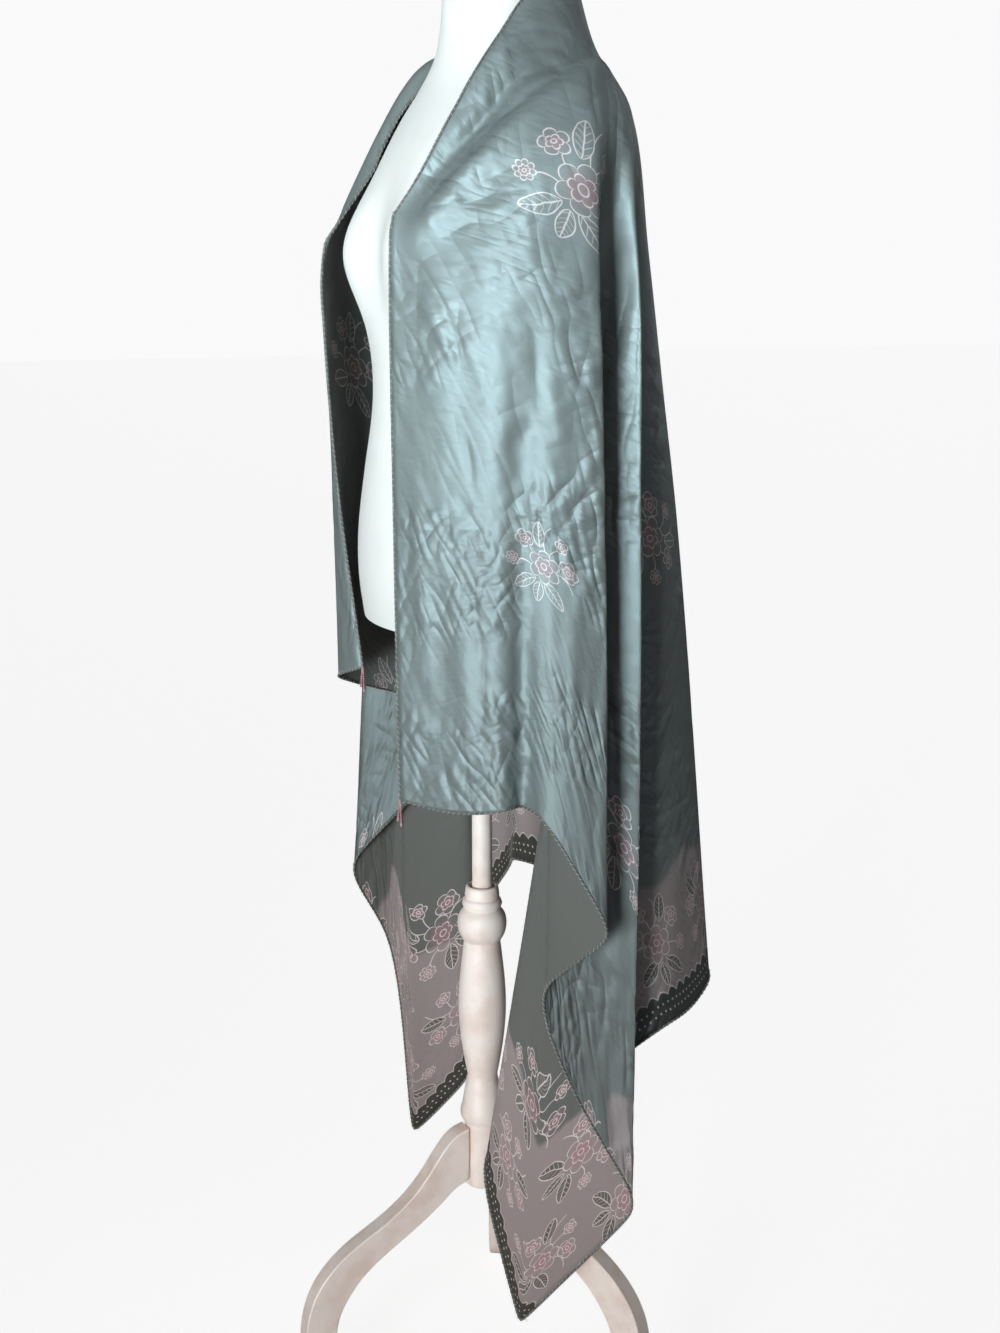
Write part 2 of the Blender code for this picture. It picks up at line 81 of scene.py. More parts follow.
# The cloth's ribs, from the left front edge round the back to the right front edge, from the stand's axis.
# turn is how far from the rib, seen from above, the cloth starts to bend: small at a fold, large on a soft
# curve, and never past LARGEST_BEND of the way to the next rib.
Rib = namedtuple("Rib", "name turn edge base rim bust hip hem")
RIBS = [Rib(*row) for row in (
    ("left_edge", 0.01, (0.106, -0.139, 1.319), (0.107, -0.142, 1.305), (0.107, -0.143, 1.290),
     (0.106, -0.143, 1.260), (0.100, -0.140, 1.060), (0.097, -0.136, 0.738)),
    ("left_roll", 0.20, (0.117, -0.103, 1.379), (0.134, -0.101, 1.352), (0.143, -0.107, 1.325),
     (0.150, -0.111, 1.285), (0.152, -0.112, 1.060), (0.153, -0.099, 0.733)),
    ("left_pleat_front", 0.022, (0.114, -0.062, 1.439), (0.140, -0.064, 1.397),
     (0.170, -0.073, 1.345), (0.183, -0.075, 1.290), (0.194, -0.069, 1.060),
     (0.200, -0.062, 0.745)),
    ("left_pleat_deep", 0.022, (0.109, -0.043, 1.466), (0.139, -0.040, 1.422),
     (0.186, -0.050, 1.358), (0.199, -0.054, 1.290), (0.197, -0.047, 1.060),
     (0.172, -0.034, 0.742)),
    ("left_pleat_back", 0.02, (0.104, -0.024, 1.492), (0.134, -0.010, 1.450),
     (0.197, -0.028, 1.372), (0.210, -0.034, 1.290), (0.217, -0.030, 1.060),
     (0.220, -0.030, 0.738)),
    ("left_fold_1", 0.016, (0.098, -0.002, 1.521), (0.122, 0.025, 1.475), (0.207, 0.021, 1.390),
     (0.221, 0.027, 1.290), (0.232, 0.034, 1.060), (0.243, 0.037, 0.613)),
    ("left_fold_2", 0.02, (0.094, 0.016, 1.534), (0.114, 0.044, 1.484), (0.195, 0.039, 1.398),
     (0.196, 0.022, 1.290), (0.192, -0.010, 1.040), (0.160, -0.012, 0.530)),
    ("left_groove", 0.025, (0.088, 0.034, 1.545), (0.104, 0.058, 1.491), (0.180, 0.054, 1.406),
     (0.155, 0.050, 1.290), (0.157, 0.030, 1.040), (0.168, 0.024, 0.421)),
    ("left_fold_3", 0.016, (0.080, 0.050, 1.552), (0.093, 0.070, 1.494), (0.166, 0.079, 1.414),
     (0.199, 0.081, 1.290), (0.215, 0.083, 1.040), (0.203, 0.096, 0.277)),
    ("left_corner", 0.004, (0.070, 0.062, 1.556), (0.085, 0.077, 1.496), (0.152, 0.089, 1.419),
     (0.156, 0.080, 1.290), (0.160, 0.060, 1.040), (0.118, -0.008, 0.113)),
    ("left_fold_4", 0.02, (0.060, 0.072, 1.559), (0.077, 0.084, 1.496), (0.143, 0.096, 1.421),
     (0.144, 0.080, 1.290), (0.150, 0.040, 1.040), (0.074, -0.043, 0.307)),
    ("left_inner", 0.05, (0.050, 0.080, 1.561), (0.069, 0.090, 1.496), (0.136, 0.102, 1.417),
     (0.136, 0.098, 1.290), (0.140, 0.085, 1.040), (0.121, 0.058, 0.385)),
    ("back_left_side", 0.20, (0.040, 0.086, 1.563), (0.060, 0.097, 1.495),
     (0.124, 0.112, 1.408), (0.135, 0.120, 1.290), (0.152, 0.126, 1.040),
     (0.177, 0.131, 0.468)),
    ("back_left_soft", 0.20, (0.028, 0.092, 1.564), (0.047, 0.104, 1.494),
     (0.104, 0.122, 1.400), (0.115, 0.136, 1.290), (0.132, 0.156, 1.040),
     (0.154, 0.189, 0.472)),
    ("back_left_fold", 0.08, (0.016, 0.096, 1.565), (0.029, 0.110, 1.492),
     (0.070, 0.132, 1.395), (0.082, 0.150, 1.290), (0.096, 0.187, 1.040),
     (0.119, 0.243, 0.506)),
    ("back_left_valley", 0.05, (0.004, 0.098, 1.565), (0.010, 0.112, 1.491),
     (0.030, 0.120, 1.392), (0.038, 0.124, 1.290), (0.050, 0.134, 1.040),
     (0.062, 0.150, 0.535)),
    ("back_middle_fold", 0.05, (-0.009, 0.098, 1.564), (-0.010, 0.112, 1.490),
     (-0.014, 0.128, 1.392), (-0.016, 0.147, 1.290), (-0.018, 0.192, 1.040),
     (-0.018, 0.262, 0.500)),
    ("back_right_valley", 0.05, (-0.019, 0.096, 1.562), (-0.028, 0.110, 1.490),
     (-0.058, 0.119, 1.392), (-0.068, 0.121, 1.290), (-0.078, 0.126, 1.040),
     (-0.084, 0.134, 0.545)),
    ("back_right_fold", 0.05, (-0.029, 0.093, 1.560), (-0.044, 0.106, 1.490),
     (-0.094, 0.119, 1.395), (-0.108, 0.133, 1.290), (-0.125, 0.162, 1.040),
     (-0.146, 0.218, 0.515)),
    ("back_right_hollow", 0.05, (-0.038, 0.090, 1.558), (-0.057, 0.101, 1.490),
     (-0.119, 0.112, 1.398), (-0.134, 0.117, 1.290), (-0.156, 0.120, 1.040),
     (-0.184, 0.122, 0.555)),
    ("back_right_side", 0.05, (-0.046, 0.086, 1.556), (-0.069, 0.096, 1.490),
     (-0.138, 0.106, 1.401), (-0.160, 0.115, 1.290), (-0.192, 0.138, 1.040),
     (-0.238, 0.152, 0.520)),
    ("right_fold_5", 0.02, (-0.055, 0.080, 1.553), (-0.080, 0.089, 1.490),
     (-0.152, 0.098, 1.405), (-0.182, 0.106, 1.290), (-0.235, 0.106, 1.040),
     (-0.292, 0.085, 0.400)),
    ("right_fold_4", 0.02, (-0.064, 0.072, 1.549), (-0.090, 0.080, 1.490),
     (-0.162, 0.087, 1.410), (-0.191, 0.090, 1.290), (-0.200, 0.088, 1.040),
     (-0.208, 0.088, 0.262)),
    ("right_soft", 0.10, (-0.072, 0.064, 1.545), (-0.100, 0.070, 1.490),
     (-0.170, 0.075, 1.413), (-0.203, 0.078, 1.290), (-0.225, 0.055, 1.040),
     (-0.243, 0.034, 0.186)),
    ("right_corner", 0.004, (-0.080, 0.055, 1.540), (-0.108, 0.060, 1.490),
     (-0.178, 0.063, 1.415), (-0.214, 0.066, 1.290), (-0.245, 0.030, 1.040),
     (-0.249, 0.011, 0.167)),
    ("right_crease", 0.02, (-0.086, 0.046, 1.534), (-0.114, 0.050, 1.490),
     (-0.184, 0.052, 1.417), (-0.219, 0.052, 1.290), (-0.262, 0.012, 1.040),
     (-0.274, 0.003, 0.422)),
    ("right_fold_2", 0.02, (-0.091, 0.037, 1.527), (-0.120, 0.040, 1.490),
     (-0.190, 0.040, 1.419), (-0.224, 0.026, 1.290), (-0.250, -0.028, 1.040),
     (-0.273, -0.066, 0.541)),
    ("right_fold_1", 0.02, (-0.097, 0.026, 1.517), (-0.124, 0.028, 1.496),
     (-0.191, 0.027, 1.421), (-0.200, 0.034, 1.290), (-0.192, 0.062, 1.040),
     (-0.182, 0.085, 0.727)),
    ("right_side", 0.20, (-0.109, 0.003, 1.482), (-0.127, 0.008, 1.502),
     (-0.186, 0.010, 1.424), (-0.196, 0.000, 1.290), (-0.196, 0.000, 1.040),
     (-0.192, -0.012, 0.775)),
    ("right_chest", 0.20, (-0.108, -0.045, 1.416), (-0.130, -0.040, 1.455),
     (-0.172, -0.045, 1.390), (-0.184, -0.065, 1.290), (-0.180, -0.072, 1.040),
     (-0.167, -0.076, 0.798)),
    ("right_turn", 0.02, (-0.101, -0.100, 1.345), (-0.116, -0.106, 1.340),
     (-0.129, -0.114, 1.306), (-0.132, -0.120, 1.260), (-0.126, -0.127, 1.040),
     (-0.126, -0.128, 0.823)),
    ("right_edge", 0.01, (-0.110, -0.131, 1.300), (-0.110, -0.134, 1.285),
     (-0.108, -0.137, 1.265), (-0.100, -0.138, 1.200), (-0.088, -0.130, 1.030),
     (-0.071, -0.112, 0.842)),
)]
RIB_NAMES = [rib.name for rib in RIBS]
LARGEST_BEND = 0.46
# How many rows of faces lie between a rib's edge, base, rim, bust, hip and hem
ROW_STEPS = (10, 13, 16, 30, 84)
# Width of a face, up to the rib where the back starts and after it
NEAR_CELL = 0.0058
FAR_CELL = 0.0105
FAR_START = "back_left_side"
STRAIGHT_SHARE = 0.5
BEND_SHARE = 0.3
LEAST_BEND_STEPS = 6
SOFTEN_ROUNDS = 3
COARSE_STEP = 6
RELAX_ROUNDS = 240
# How far each short end leans in on the flat layout, towards the less full lower edge
END_LEAN = 0.06
# Keep a length and a normal from being zero where they divide
LEAST_LENGTH = 1e-6
LEAST_NORMAL = 1e-9

# Creases pressed or dragged into the cloth: from and to on the flat cloth (u from the middle towards
# the left front corner, v down from the top edge), how far the crease bows, its half width, and its depth
# (a ridge is positive, a trough negative).
Crease = namedtuple("Crease", "u0 v0 u1 v1 bow width depth")
CREASES = [Crease(*row) for row in (
    # The drag fold from the bust to the shoulder, with its ridges and tucks
    (0.356, -0.004, 0.080, 0.048, 0.006, 0.007, -0.0050),
    (0.350, -0.018, 0.070, 0.026, 0.005, 0.011, 0.0110),
    (0.362, 0.016, 0.075, 0.074, 0.006, 0.013, 0.0150),
    (0.116, 0.040, 0.070, 0.060, 0.001, 0.007, -0.0100),
    (0.300, -0.010, 0.130, 0.020, 0.004, 0.006, -0.0040),
    (0.215, 0.002, 0.150, 0.024, 0.002, 0.0055, 0.0036),
    (0.342, 0.003, 0.110, 0.044, 0.007, 0.0040, -0.0020),
    (0.330, 0.010, 0.130, 0.052, 0.007, 0.0035, -0.0013),
    (0.335, -0.003, 0.100, 0.036, 0.006, 0.0035, 0.0013),
    (0.320, 0.012, 0.215, 0.036, 0.002, 0.0035, -0.0012),
    (0.155, 0.012, 0.105, 0.040, 0.003, 0.0035, -0.0016),
    (0.145, 0.005, 0.092, 0.034, 0.002, 0.0035, -0.0014),
    (0.168, 0.022, 0.118, 0.052, -0.002, 0.004, -0.0014),
    (0.190, 0.006, 0.165, 0.020, 0.002, 0.005, 0.0012),
    # Pulls that meet in stars near the left front edge
    (0.410, 0.003, 0.456, 0.026, 0.003, 0.0055, -0.0022),
    (0.425, 0.002, 0.418, 0.020, 0.001, 0.0055, -0.0016),
    (0.470, 0.033, 0.486, 0.002, 0.002, 0.0055, -0.0024),
    (0.470, 0.033, 0.442, 0.024, -0.002, 0.0055, 0.0020),
    (0.470, 0.033, 0.452, 0.060, 0.003, 0.0055, -0.0022),
    (0.470, 0.033, 0.500, 0.042, 0.002, 0.0055, 0.0018),
    (0.545, 0.003, 0.582, 0.046, 0.004, 0.0055, -0.0024),
    (0.552, 0.004, 0.560, 0.034, -0.002, 0.0055, 0.0018),
    (0.540, 0.030, 0.520, 0.060, 0.002, 0.0055, -0.0018),
    (0.622, 0.004, 0.640, 0.034, 0.002, 0.0055, -0.0020),
    (0.650, 0.010, 0.618, 0.050, 0.003, 0.0055, 0.0018),
    (0.700, 0.006, 0.735, 0.030, 0.003, 0.0055, -0.0020),
    # Slanting creases over the left front
    (0.385, 0.075, 0.368, 0.104, 0.002, 0.006, -0.0020),
    (0.408, 0.060, 0.380, 0.086, -0.002, 0.007, 0.0018),
    (0.500, 0.075, 0.548, 0.095, 0.002, 0.0045, -0.0022),
    (0.490, 0.120, 0.430, 0.155, 0.004, 0.007, -0.0022),
    (0.478, 0.112, 0.440, 0.132, 0.002, 0.006, 0.0016),
    (0.310, 0.130, 0.345, 0.168, 0.003, 0.006, 0.0020),
    (0.330, 0.118, 0.375, 0.160, 0.003, 0.006, -0.0020),
    (0.285, 0.135, 0.315, 0.170, 0.002, 0.005, -0.0014),
    (0.395, 0.128, 0.450, 0.168, 0.003, 0.006, 0.0020),
    (0.560, 0.066, 0.600, 0.105, 0.004, 0.007, -0.0022),
    (0.555, 0.140, 0.520, 0.172, -0.003, 0.007, 0.0020),
    (0.590, 0.090, 0.625, 0.066, 0.002, 0.006, 0.0018),
    (0.600, 0.120, 0.650, 0.142, 0.003, 0.006, -0.0020),
    # Soft folds that fall down the left front, and pleats above its hem
    (0.300, 0.060, 0.560, 0.116, 0.004, 0.019, 0.0034),
    (0.330, 0.038, 0.520, 0.062, -0.004, 0.016, 0.0024),
    (0.290, 0.100, 0.500, 0.142, 0.004, 0.014, -0.0028),
    (0.345, 0.104, 0.430, 0.136, 0.001, 0.007, -0.0024),
    (0.560, 0.030, 0.780, 0.040, 0.004, 0.014, 0.0030),
    (0.640, 0.060, 0.860, 0.072, -0.004, 0.013, -0.0034),
    (0.660, 0.100, 0.748, 0.116, 0.003, 0.006, -0.0030),
    (0.680, 0.090, 0.890, 0.096, 0.003, 0.010, 0.0036),
    (0.730, 0.070, 0.792, 0.044, 0.003, 0.007, -0.0028),
    (0.760, 0.118, 0.812, 0.146, 0.002, 0.007, -0.0028),
    (0.742, 0.126, 0.880, 0.122, 0.002, 0.008, 0.0030),
    (0.790, 0.030, 0.866, 0.066, 0.004, 0.008, -0.0030),
    (0.800, 0.018, 0.908, 0.024, 0.002, 0.009, 0.0026),
    (0.840, 0.094, 0.912, 0.106, 0.002, 0.006, -0.0024),
    (0.845, 0.050, 0.915, 0.052, 0.002, 0.007, 0.0022),
    # The side's falling folds, and the crossing creases on the low one
    (0.250, 0.205, 0.560, 0.250, 0.004, 0.010, -0.0020),
    (0.560, 0.240, 0.860, 0.262, -0.006, 0.012, 0.0028),
    (0.600, 0.276, 0.900, 0.290, 0.004, 0.009, -0.0022),
    (0.745, 0.546, 0.690, 0.602, 0.004, 0.007, -0.0034),
    (0.760, 0.560, 0.702, 0.628, -0.003, 0.007, 0.0028),
    (0.715, 0.545, 0.700, 0.590, 0.002, 0.006, 0.0022),
    (0.500, 0.440, 0.760, 0.560, 0.006, 0.012, -0.0026),
    (0.820, 0.600, 0.885, 0.660, 0.004, 0.009, -0.0028),
    (0.780, 0.610, 0.850, 0.690, -0.004, 0.010, 0.0028),
    # The back: long soft lines down the flutes, and pulls below the collar
    (0.080, 0.060, 0.240, 0.460, 0.010, 0.013, 0.0026),
    (0.050, 0.100, 0.120, 0.520, -0.008, 0.012, -0.0024),
    (0.010, 0.080, 0.015, 0.420, 0.006, 0.014, 0.0028),
    (-0.040, 0.120, -0.100, 0.600, 0.008, 0.011, -0.0026),
    (-0.090, 0.070, -0.230, 0.480, -0.009, 0.014, 0.0026),
    (-0.060, 0.030, -0.130, 0.075, 0.004, 0.006, -0.0016),
    (0.040, 0.035, 0.095, 0.090, -0.004, 0.006, -0.0016),
    (-0.020, 0.500, 0.060, 0.600, 0.006, 0.008, -0.0022),
    (-0.160, 0.520, -0.090, 0.640, -0.006, 0.008, 0.0022),
    (0.170, 0.560, 0.120, 0.680, 0.005, 0.008, -0.0022),
    # The right side, like the left
    (-0.345, 0.004, -0.130, 0.040, -0.006, 0.009, -0.0036),
    (-0.330, 0.018, -0.150, 0.058, -0.006, 0.009, 0.0024),
    (-0.430, 0.006, -0.462, 0.034, 0.003, 0.006, -0.0020),
    (-0.478, 0.030, -0.440, 0.056, 0.003, 0.006, 0.0018),
    (-0.540, 0.008, -0.580, 0.044, -0.003, 0.006, -0.0022),
    (-0.400, 0.080, -0.370, 0.118, 0.002, 0.007, -0.0020),
    (-0.320, 0.070, -0.560, 0.104, 0.005, 0.016, 0.0028),
    (-0.620, 0.060, -0.820, 0.076, -0.004, 0.011, -0.0028),
    (-0.660, 0.096, -0.860, 0.104, 0.004, 0.009, 0.0028),
    (-0.700, 0.020, -0.760, 0.050, 0.003, 0.007, -0.0022),
    (-0.500, 0.200, -0.740, 0.260, -0.006, 0.011, -0.0024),
    (-0.620, 0.560, -0.700, 0.640, 0.004, 0.009, -0.0026),
    (-0.560, 0.420, -0.740, 0.540, 0.006, 0.012, 0.0026),
)]
# Creases no wider than this are drawn by the satin's shader, the others are in the mesh
SHARP_WIDTH = 0.0042
# A crease has a low bank on each side: its share of the depth, and how much wider it spreads
BANK_SHARE = 0.35
BANK_SPREAD = 5
# How bluntly a crease fades at its ends, and how far from them, as a share of its length, the fading stops
FADE_POWER = 0.6
FADE_END = 0.02
# Small seeded creases between the large ones
CRUMPLE_COUNT = 220
CRUMPLE_LENGTH = (0.025, 0.095)
CRUMPLE_WIDTH = (0.0045, 0.010)
CRUMPLE_DEPTH = 0.0006
CRUMPLE_BOW = 0.004
# The directions that they keep near, in radians, how far they stray, and how near the top edge they start
CRUMPLE_TURNS = (0.75, 2.35, 1.57, 0.30)
CRUMPLE_STRAY = 0.3
CRUMPLE_TOP = 0.03

# The print: one bouquet of own design, its flowers, leaves and stems by place, size and turn (from the
# bouquet's middle, across and up)
Flower = namedtuple("Flower", "across up size petals turn")
FLOWERS = [Flower(*row) for row in (
    (0.004, -0.002, 0.021, 6, 0.2),
    (0.031, 0.017, 0.013, 5, 0.9),
    (-0.030, 0.016, 0.0115, 5, 0.0),
    (-0.035, -0.017, 0.0085, 8, 0.4),
    (0.012, 0.040, 0.0085, 5, 0.5),
)]
Leaf = namedtuple("Leaf", "across up length turn")
LEAVES = [Leaf(*row) for row in (
    (0.010, -0.020, 0.036, -0.45),
    (-0.002, -0.022, 0.034, -2.30),
    (0.005, -0.024, 0.028, -1.45),
    (-0.010, 0.018, 0.032, 2.00),
    (0.017, 0.014, 0.026, 0.05),
)]
Stem = namedtuple("Stem", "across up length turn bend")
STEMS = [Stem(*row) for row in (
    (0.004, 0.010, 0.026, 1.30, 0.10),
    (-0.008, 0.004, 0.016, 2.60, 0.15),
    (-0.012, -0.010, 0.018, 3.45, -0.15),
    (0.000, 0.016, 0.036, 1.75, 0.18),
    (0.018, 0.002, 0.028, -0.20, 0.20),
)]
# A flower's two rings of petals and its middle ring, as shares of its size: how far the tips stand out and
# where the notches between them are
OUTER_PETALS = (0.40, 0.60)
INNER_PETALS = (0.22, 0.32)
MIDDLE_RING = 0.18
# A leaf's outline: how blunt its ends are and how wide it is. Its veins: slant, number and strength
LEAF_BLUNT = 0.8
LEAF_WIDTH = 0.72
VEIN_SLANT = 0.9
VEINS = 6.0
VEIN_INK = 0.6
# Half the width of a drawn line, and the share of it that is fully drawn
LINE = 0.0008
LINE_CORE = 0.4
# Hand-drawn lines shake a little
HAND_SCALE = 45.0
HAND_SHAKE = 0.004
# The dark border along the lower long edge, with rows of dots at a share of its height; then a band of rows
# of bouquets, the lower ones on mauve; then scattered bouquets
BORDER = 0.034
DOT = 0.0016
DOT_CORE = 0.6
DOT_STEP = 0.0085
DOTS_AT = 0.45
BAND_STEP = 0.108
BAND_ROWS = 2
MAUVE_TOP = 0.155
# The mauve's soft edge is scalloped, and the border's has small arches with a line drawn over them
SCALLOP = 0.010
MAUVE_SOFT = 0.006
ARCH = 0.034
ARCH_HEIGHT = 0.006
ARCH_LINE = BORDER - 0.005
# Towards the short ends the band is one row higher, and its mauve with it
END_START = 0.60
END_CLIMB = (END_START - 0.03, END_START + 0.25)
END_RISE = 0.13
# Painted shade: the ground darkens from this far above the lower edge down to this, by up to this share,
# where the lower cloth hangs in shade
PAINTED_SHADE_START = 0.74
PAINTED_SHADE_END = 0.46
PAINTED_SHADE_SHARE = 0.62
# How far above the mauve a bouquet's middle may still be
MOTIF_REACH = 0.022
# The first scattered bouquet's middle (u, v), the step to the next, and how far every other column drops
FIELD_START = (0.215, 0.10)
FIELD_STEP = (0.38, 0.32)
FIELD_DROP = 0.27
BOUQUET_TURN = 0.5
# How strongly the bouquets' parts are dyed. Leaves and petals: how much more on the mauve, and at least
LEAF_INK = (0.8, 0.05)
PETAL_INK = (0.3, 0.14)
HEART_INK = 0.45
LINE_INK = 0.8
# The finest wrinkles: how wide and long they are, how they slant, and how high they stand
WRINKLES = (
    (0.026, 0.095, 1.10, 0.8), (0.022, 0.080, -0.95, 0.7), (0.036, 0.180, 1.60, 0.7),
    (0.011, 0.040, 0.50, 0.25),
)
# The broad noise that calms them: its size, where it starts and ends to act, and how little it leaves
CALM_SCALE = (0.13, 0.16)
CALM_RANGE = (0.36, 0.58)
CALM_LEAST = 0.25
# The threads: how wide and long they are, and how high they stand
THREAD_SCALE = (0.0004, 0.012)
THREAD_HEIGHT = 0.02
# Soft stains in the other finishes: where the noise starts and ends to show, how much the fine grain adds,
# and how much duller a stain is
STAIN_RANGE = (0.40, 0.72)
STAIN_GRAIN = 0.25
STAIN_DULL = 0.12

# The sockets of the shader groups that aren't plain numbers
SOCKET_KINDS = {"Place": "Vector", "Ground": "Color", "Colour": "Color"}

# Copies of the frame's solids: how near two points merge, the angles up to which triangles join, how often
# faces are split, and the angle from which an edge of the form or the stand stays sharp
MERGE = 1e-5
JOIN_FACES = math.radians(12)
JOIN_SHAPES = math.radians(40)
SPLITS = 2
FORM_SHARP = math.radians(50)
STAND_SHARP = math.radians(32)

# The hem: from one ring of its roll to the next, sides of its roll and of its thread, and how each stitch
# winds round it
HEM_STEP = 0.004
ROLL_SIDES = 8
STITCH_SIDES = 4
STITCH_RINGS = 10
STITCH_TURNS = 0.9
STITCH_SWING = 0.5
# The tassels: points in a strand, how much shorter each is than the one before, the beads' faces, how their
# size and turn vary, and how much larger the last one is
STRAND_POINTS = 12
STRAND_STEP = 0.09
STRAND_SIDES = 6
BEAD_SEGMENTS = 14
BEAD_RINGS = 9
BEAD_SIZES = (0.82, 1.08)
BEAD_SWING = 1.5
LAST_BEAD = (1.25, 1.25, 1.8)

# Colours of the threads and beads, each with its stains, and how dark the hem's stains are
HEM_THREAD = ((0.50, 0.48, 0.44), (0.40, 0.36, 0.33))
TASSEL_THREAD = ((0.45, 0.30, 0.31), (0.36, 0.22, 0.23))
PINK_GLASS = ((0.50, 0.28, 0.30), (0.36, 0.17, 0.20))
HEM_STAIN = 0.6

# The stage: half the floor's width, and from where to where in the room the light grows, on the key's side
# and behind the stand, as the cosine of the angle from the key
FLOOR_REACH = 30
ROOM_RANGE = (-0.25, 0.95)
BEHIND_RANGE = (-0.40, -0.95)


def rib_curves():
    """Each rib as a smooth curve: an array of ribs, rows and coordinates."""
    points = np.array([rib[2:] for rib in RIBS])
    span = np.linalg.norm(np.diff(points, axis=1), axis=2, keepdims=True)
    slope = np.diff(points, axis=1) / span
    before, after = span[:, :-1], span[:, 1:]
    tangent = np.empty_like(points)
    tangent[:, 0] = slope[:, 0]
    tangent[:, 1:-1] = (slope[:, :-1] * after + slope[:, 1:] * before) / (before + after)
    tangent[:, -1] = slope[:, -1]
    rows = [points[:, :1]]
    for k, count in enumerate(ROW_STEPS):
        t = (np.arange(1, count + 1) / count)[None, :, None]
        out = tangent[:, k:k + 1] * span[:, k:k + 1]
        into = tangent[:, k + 1:k + 2] * span[:, k:k + 1]
        rows.append(
            points[:, k:k + 1] * (2 * t**3 - 3 * t**2 + 1) + out * (t**3 - 2 * t**2 + t)
            + points[:, k + 1:k + 2] * (3 * t**2 - 2 * t**3) + into * (t**3 - t**2)
        )
    return np.concatenate(rows, axis=1)


def lay_columns(curves):
    """The sheet's grid of points, row by row, and the column where each rib's bend has its middle."""
    columns, middles = [curves[0]], [0]
    last_end = curves[0]
    for i in range(1, len(RIBS)):
        cell = NEAR_CELL if i < RIB_NAMES.index(FAR_START) else FAR_CELL
        gap = np.linalg.norm(curves[i] - curves[i - 1], axis=1).mean()
        corner = curves[i]
        start = end = corner
        bend_steps = 0
        if i < len(RIBS) - 1:
            back, ahead = curves[i - 1] - corner, curves[i + 1] - corner
            wide_back = np.linalg.norm(back[:, :2], axis=1)[:, None]
            wide_ahead = np.linalg.norm(ahead[:, :2], axis=1)[:, None]
            start = corner + back * np.minimum(LARGEST_BEND, RIBS[i].turn / wide_back)
            end = corner + ahead * np.minimum(LARGEST_BEND, RIBS[i].turn / wide_ahead)
            bend_steps = max(LEAST_BEND_STEPS, 2 * round(gap * BEND_SHARE / cell))
        straight_steps = max(2, round(gap * STRAIGHT_SHARE / cell))
        for step in range(1, straight_steps + 1):
            t = step / straight_steps
            columns.append(last_end * (1 - t) + start * t)
        middles.append(len(columns) - 1 + bend_steps // 2)
        for step in range(1, bend_steps + 1):
            t = step / bend_steps
            columns.append(start * (1 - t) ** 2 + corner * 2 * t * (1 - t) + end * t**2)
        last_end = end
    grid = np.stack(columns, axis=1)
    grid[..., 0] += AXIS.x
    grid[..., 1] += AXIS.y
    return grid, middles


def soften(grid, rounds):
    """Round the grid's bends a little, and leave its edges where they are."""
    grid = grid.copy()
    for _ in range(rounds):
        inner = grid[:, 1:-1] * 0.5 + (grid[:, :-2] + grid[:, 2:]) * 0.25
        grid[:, 1:-1] = inner
        inner = grid[1:-1] * 0.5 + (grid[:-2] + grid[2:]) * 0.25
        grid[1:-1] = inner
    return grid


def grid_normals(grid):
    """Unit normals of a grid of points, on the cloth's right side."""
    down, across = np.gradient(grid, axis=0), np.gradient(grid, axis=1)
    normals = np.cross(down, across)
    return normals / np.maximum(np.linalg.norm(normals, axis=2, keepdims=True), LEAST_NORMAL)


def keep_clear(grid, tree, clearance):
    """Move each point that is too near the form out along the form's normal."""
    flat = grid.reshape(-1, 3)
    for index, point in enumerate(flat):
        point = Vector(point)
        nearest, normal, _, _ = tree.find_nearest(point)
        short = clearance - (point - nearest).dot(normal)
        if short > 0:
            flat[index] = point + normal * short
    return flat.reshape(grid.shape)


def running_length(points):
    """How far along a line each of its points is."""
    steps = np.linalg.norm(np.diff(points, axis=0), axis=1)
    return np.concatenate([[0.0], np.cumsum(steps)])


def relax_weights(grid):
    """How strongly each point of a grid is tied to the next one across and the next one down."""
    across = np.linalg.norm(np.diff(grid, axis=1), axis=2) + LEAST_LENGTH
    down = np.linalg.norm(np.diff(grid, axis=0), axis=2) + LEAST_LENGTH
    beside = np.zeros(grid.shape[:2])
    beside[:-1] += down / 2
    beside[1:] += down / 2
    above = np.zeros(grid.shape[:2])
    above[:, :-1] += across / 2
    above[:, 1:] += across / 2
    tie_across = (beside[:, :-1] + beside[:, 1:]) / 2 / across
    tie_down = (above[:-1] + above[1:]) / 2 / down
    return tie_across, tie_down


def solve_flat(grid, edge_uv):
    """Lay a small grid flat between its edges, by solving for its inner points all at once."""
    rows, columns = grid.shape[:2]
    inside = (rows - 2, columns - 2)
    count = inside[0] * inside[1]
    tie_across, tie_down = relax_weights(grid)
    number = -np.ones((rows, columns), int)
    number[1:-1, 1:-1] = np.arange(count).reshape(inside)
    matrix, right = np.zeros((count, count)), np.zeros((count, 2))
    for r in range(1, rows - 1):
        for c in range(1, columns - 1):
            here = number[r, c]
            for nr, nc, tie in (
                (r, c - 1, tie_across[r, c - 1]), (r, c + 1, tie_across[r, c]),
                (r - 1, c, tie_down[r - 1, c]), (r + 1, c, tie_down[r, c]),
            ):
                matrix[here, here] += tie
                if number[nr, nc] >= 0:
                    matrix[here, number[nr, nc]] -= tie
                else:
                    right[here] += tie * edge_uv[nr, nc]
    result = edge_uv.copy()
    result[1:-1, 1:-1] = np.linalg.solve(matrix, right).reshape(*inside, 2)
    return result


def resample(values, rows_at, columns_at, rows, columns):
    """Read a coarse grid of values at every row and column of the fine one."""
    wide = np.empty((len(rows_at), columns, 2))
    for r in range(len(rows_at)):
        for k in range(2):
            wide[r, :, k] = np.interp(np.arange(columns), columns_at, values[r, :, k])
    tall = np.empty((rows, columns, 2))
    for c in range(columns):
        for k in range(2):
            tall[:, c, k] = np.interp(np.arange(rows), rows_at, wide[:, c, k])
    return tall


